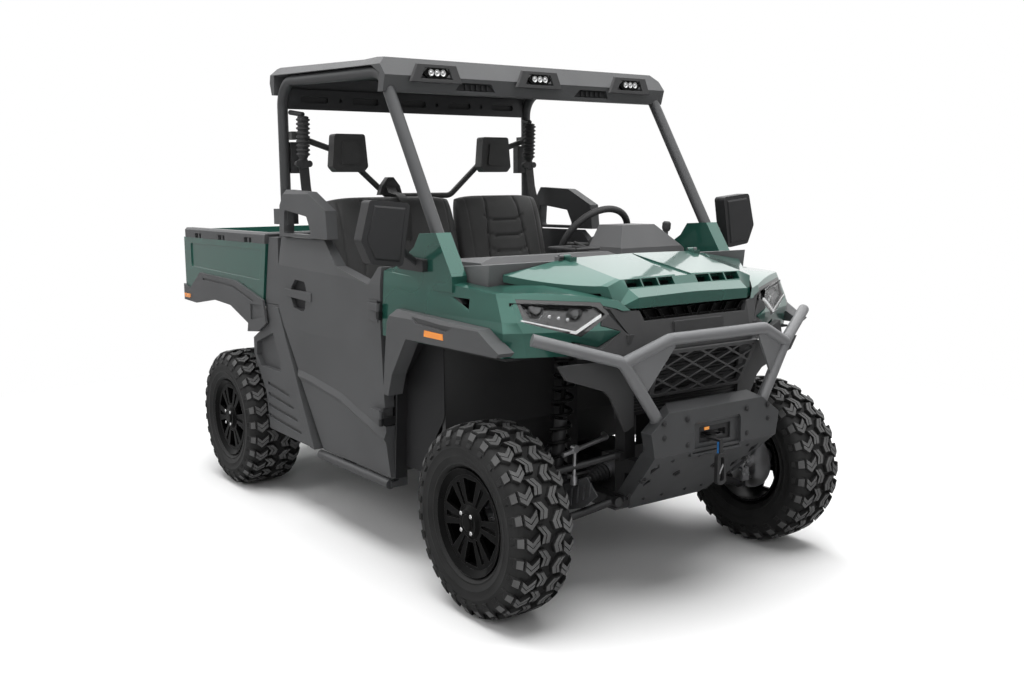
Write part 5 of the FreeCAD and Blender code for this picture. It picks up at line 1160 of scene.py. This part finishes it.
def make_backings():
    """What closes the view behind openings: a backing in the roof's beam, the radiator, footwell walls."""
    backing = Shape()
    backing.slab(at(-1623, -652, 1851), at(-1618, 652, 1935))
    build("beam_backing", backing)
    radiator = Shape()
    radiator.slab(at(226, -330, 690), at(240, 330, 958))
    for k in range(RADIATOR_FINS):
        z = 700.0 + k * 11.6
        radiator.slab(at(240, -322, z), at(246, 322, z + 4))
    build("radiator", radiator, finish=finishes["black_steel"])
    walls = Shape()
    outline = [(-642, 392), (-430, 392), (-425, 480), (-395, 560), (-345, 625), (-338, 650), (-338, 1000),
               (-642, 1000)]
    walls.prism(side_ring(outline, 661), LEFT * 0.004)
    build("footwell_walls", walls.mirror(), finish=LINER_FINISH)


def make_camera():
    level = math.cos(CAMERA_PITCH)
    ahead = Vector((level * math.cos(CAMERA_YAW), level * math.sin(CAMERA_YAW), math.sin(CAMERA_PITCH)))
    right = ahead.cross(UP).normalized()
    up = right.cross(ahead)
    rolled_right = right * math.cos(CAMERA_ROLL) + up * math.sin(CAMERA_ROLL)
    rolled_up = up * math.cos(CAMERA_ROLL) - right * math.sin(CAMERA_ROLL)
    turn = Matrix((rolled_right, rolled_up, -ahead)).transposed().to_4x4()
    data = bpy.data.cameras.new("camera")
    data.sensor_width = SENSOR_WIDTH
    data.lens = FOCAL_PIXELS * SENSOR_WIDTH / IMAGE_WIDTH
    data.shift_x = CENTRE_OFFSET_PIXELS[0] / IMAGE_WIDTH
    data.shift_y = CENTRE_OFFSET_PIXELS[1] / IMAGE_WIDTH
    camera = bpy.data.objects.new("camera", data)
    camera.matrix_world = Matrix.Translation(CAMERA_PLACE) @ turn
    bpy.context.collection.objects.link(camera)
    bpy.context.scene.camera = camera


def make_world():
    """White to the camera, an even glow on matt surfaces, and a sky that fades down in reflections."""
    world = bpy.data.worlds.new("studio")
    bpy.context.scene.world = world
    g = Graph("studio", world)
    path = g.add("LightPath")
    seen = g.math("MAXIMUM", path.outputs["Is Camera Ray"], path.outputs["Is Transmission Ray"])
    heading = g.add("TexCoord").outputs["Generated"]
    rise = g.add("SeparateXYZ", {0: heading}).outputs["Z"]
    sky = g.spread(rise, 0.75, -0.1, SKY_TOP, SKY_LOW)
    behind = g.add("VectorMath", {0: heading, 1: BACK_HEADING}, operation="DOT_PRODUCT").outputs["Value"]
    sky = g.math("ADD", sky, g.spread(behind, 0.35, 0.95, 0.0, BACK_GLOW))
    glossy = path.outputs["Is Glossy Ray"]
    strength = g.add("Mix", {0: glossy, 2: AMBIENT, 3: sky}).outputs[0]
    strength = g.add("Mix", {0: seen, 2: strength, 3: 1.0}).outputs[0]
    back = g.add("Background", {"Color": grey(1.0), "Strength": strength})
    g.add("OutputWorld", {0: back.outputs[0]})


def floor_material():
    """Matt floor near the vehicle that turns into plain white light farther out."""
    g = Graph("floor")
    where = g.place()
    far = g.add("VectorMath", {0: where}, operation="LENGTH").outputs["Value"]
    white = g.spread(far, WHITE_FROM, WHITE_FULL, 0.0, 1.0)
    path = g.add("LightPath")
    glossy = path.outputs["Is Glossy Ray"]
    seen = g.math("MAXIMUM", path.outputs["Is Camera Ray"], glossy)
    white = g.math("MULTIPLY", white, seen)
    matt = g.add("BsdfDiffuse", {"Color": g.mix(glossy, grey(0.90), grey(FLOOR_IN_REFLECTIONS))})
    strength = g.spread(glossy, 0.0, 1.0, 1.0, FLOOR_IN_REFLECTIONS)
    glow = g.add("Emission", {"Color": grey(1.0), "Strength": strength})
    both = g.add("MixShader", {0: white, 1: matt.outputs[0], 2: glow.outputs[0]})
    g.add("OutputMaterial", {0: both.outputs[0]})
    return g.data


def make_floor():
    mesh = bpy.data.meshes.new("floor")
    h = FLOOR_HALF
    mesh.from_pydata([(-h, -h, 0), (h, -h, 0), (h, h, 0), (-h, h, 0)], [], [(0, 1, 2, 3)])
    floor = bpy.data.objects.new("floor", mesh)
    bpy.context.collection.objects.link(floor)
    mesh.materials.append(floor_material())


def area_light(name, place, target, size, power):
    data = bpy.data.lights.new(name, "AREA")
    data.shape = "RECTANGLE"
    data.size, data.size_y = size
    data.energy = power
    light = bpy.data.objects.new(name, data)
    aim = Vector(target) - Vector(place)
    light.rotation_euler = aim.to_track_quat("-Z", "Y").to_euler()
    light.location = place
    light.visible_glossy = False
    bpy.context.collection.objects.link(light)


def make_lights():
    area_light("overhead", (0.0, 0.0, 5.2), (0.0, 0.0, 0.0), (7.5, 5.5), 640.0)
    area_light("front_right", (5.5, -4.5, 3.4), (0.2, -0.2, 0.9), (3.0, 2.4), 50.0)
    area_light("side", (-1.5, -5.5, 4.2), (-0.3, 0.0, 0.9), (4.0, 2.2), 70.0)


make_camera()
make_world()
make_floor()
make_lights()
dress_frame()
make_wheels()
make_seats()
make_belts()
make_shocks()
make_joint_boots()
make_sway_bar()
make_arm_guards()
make_headlights()
make_lamp_pods()
make_roof_vents()
make_roof_lamps()
make_markers()
make_plate_bolts()
make_door_trim()
make_roof_bolts()
make_winch_trim()
make_mirrors()
make_dash()
make_bed_ribs()
make_seat_shells()
make_backings()

bpy.context.scene.view_settings.view_transform = "Standard"
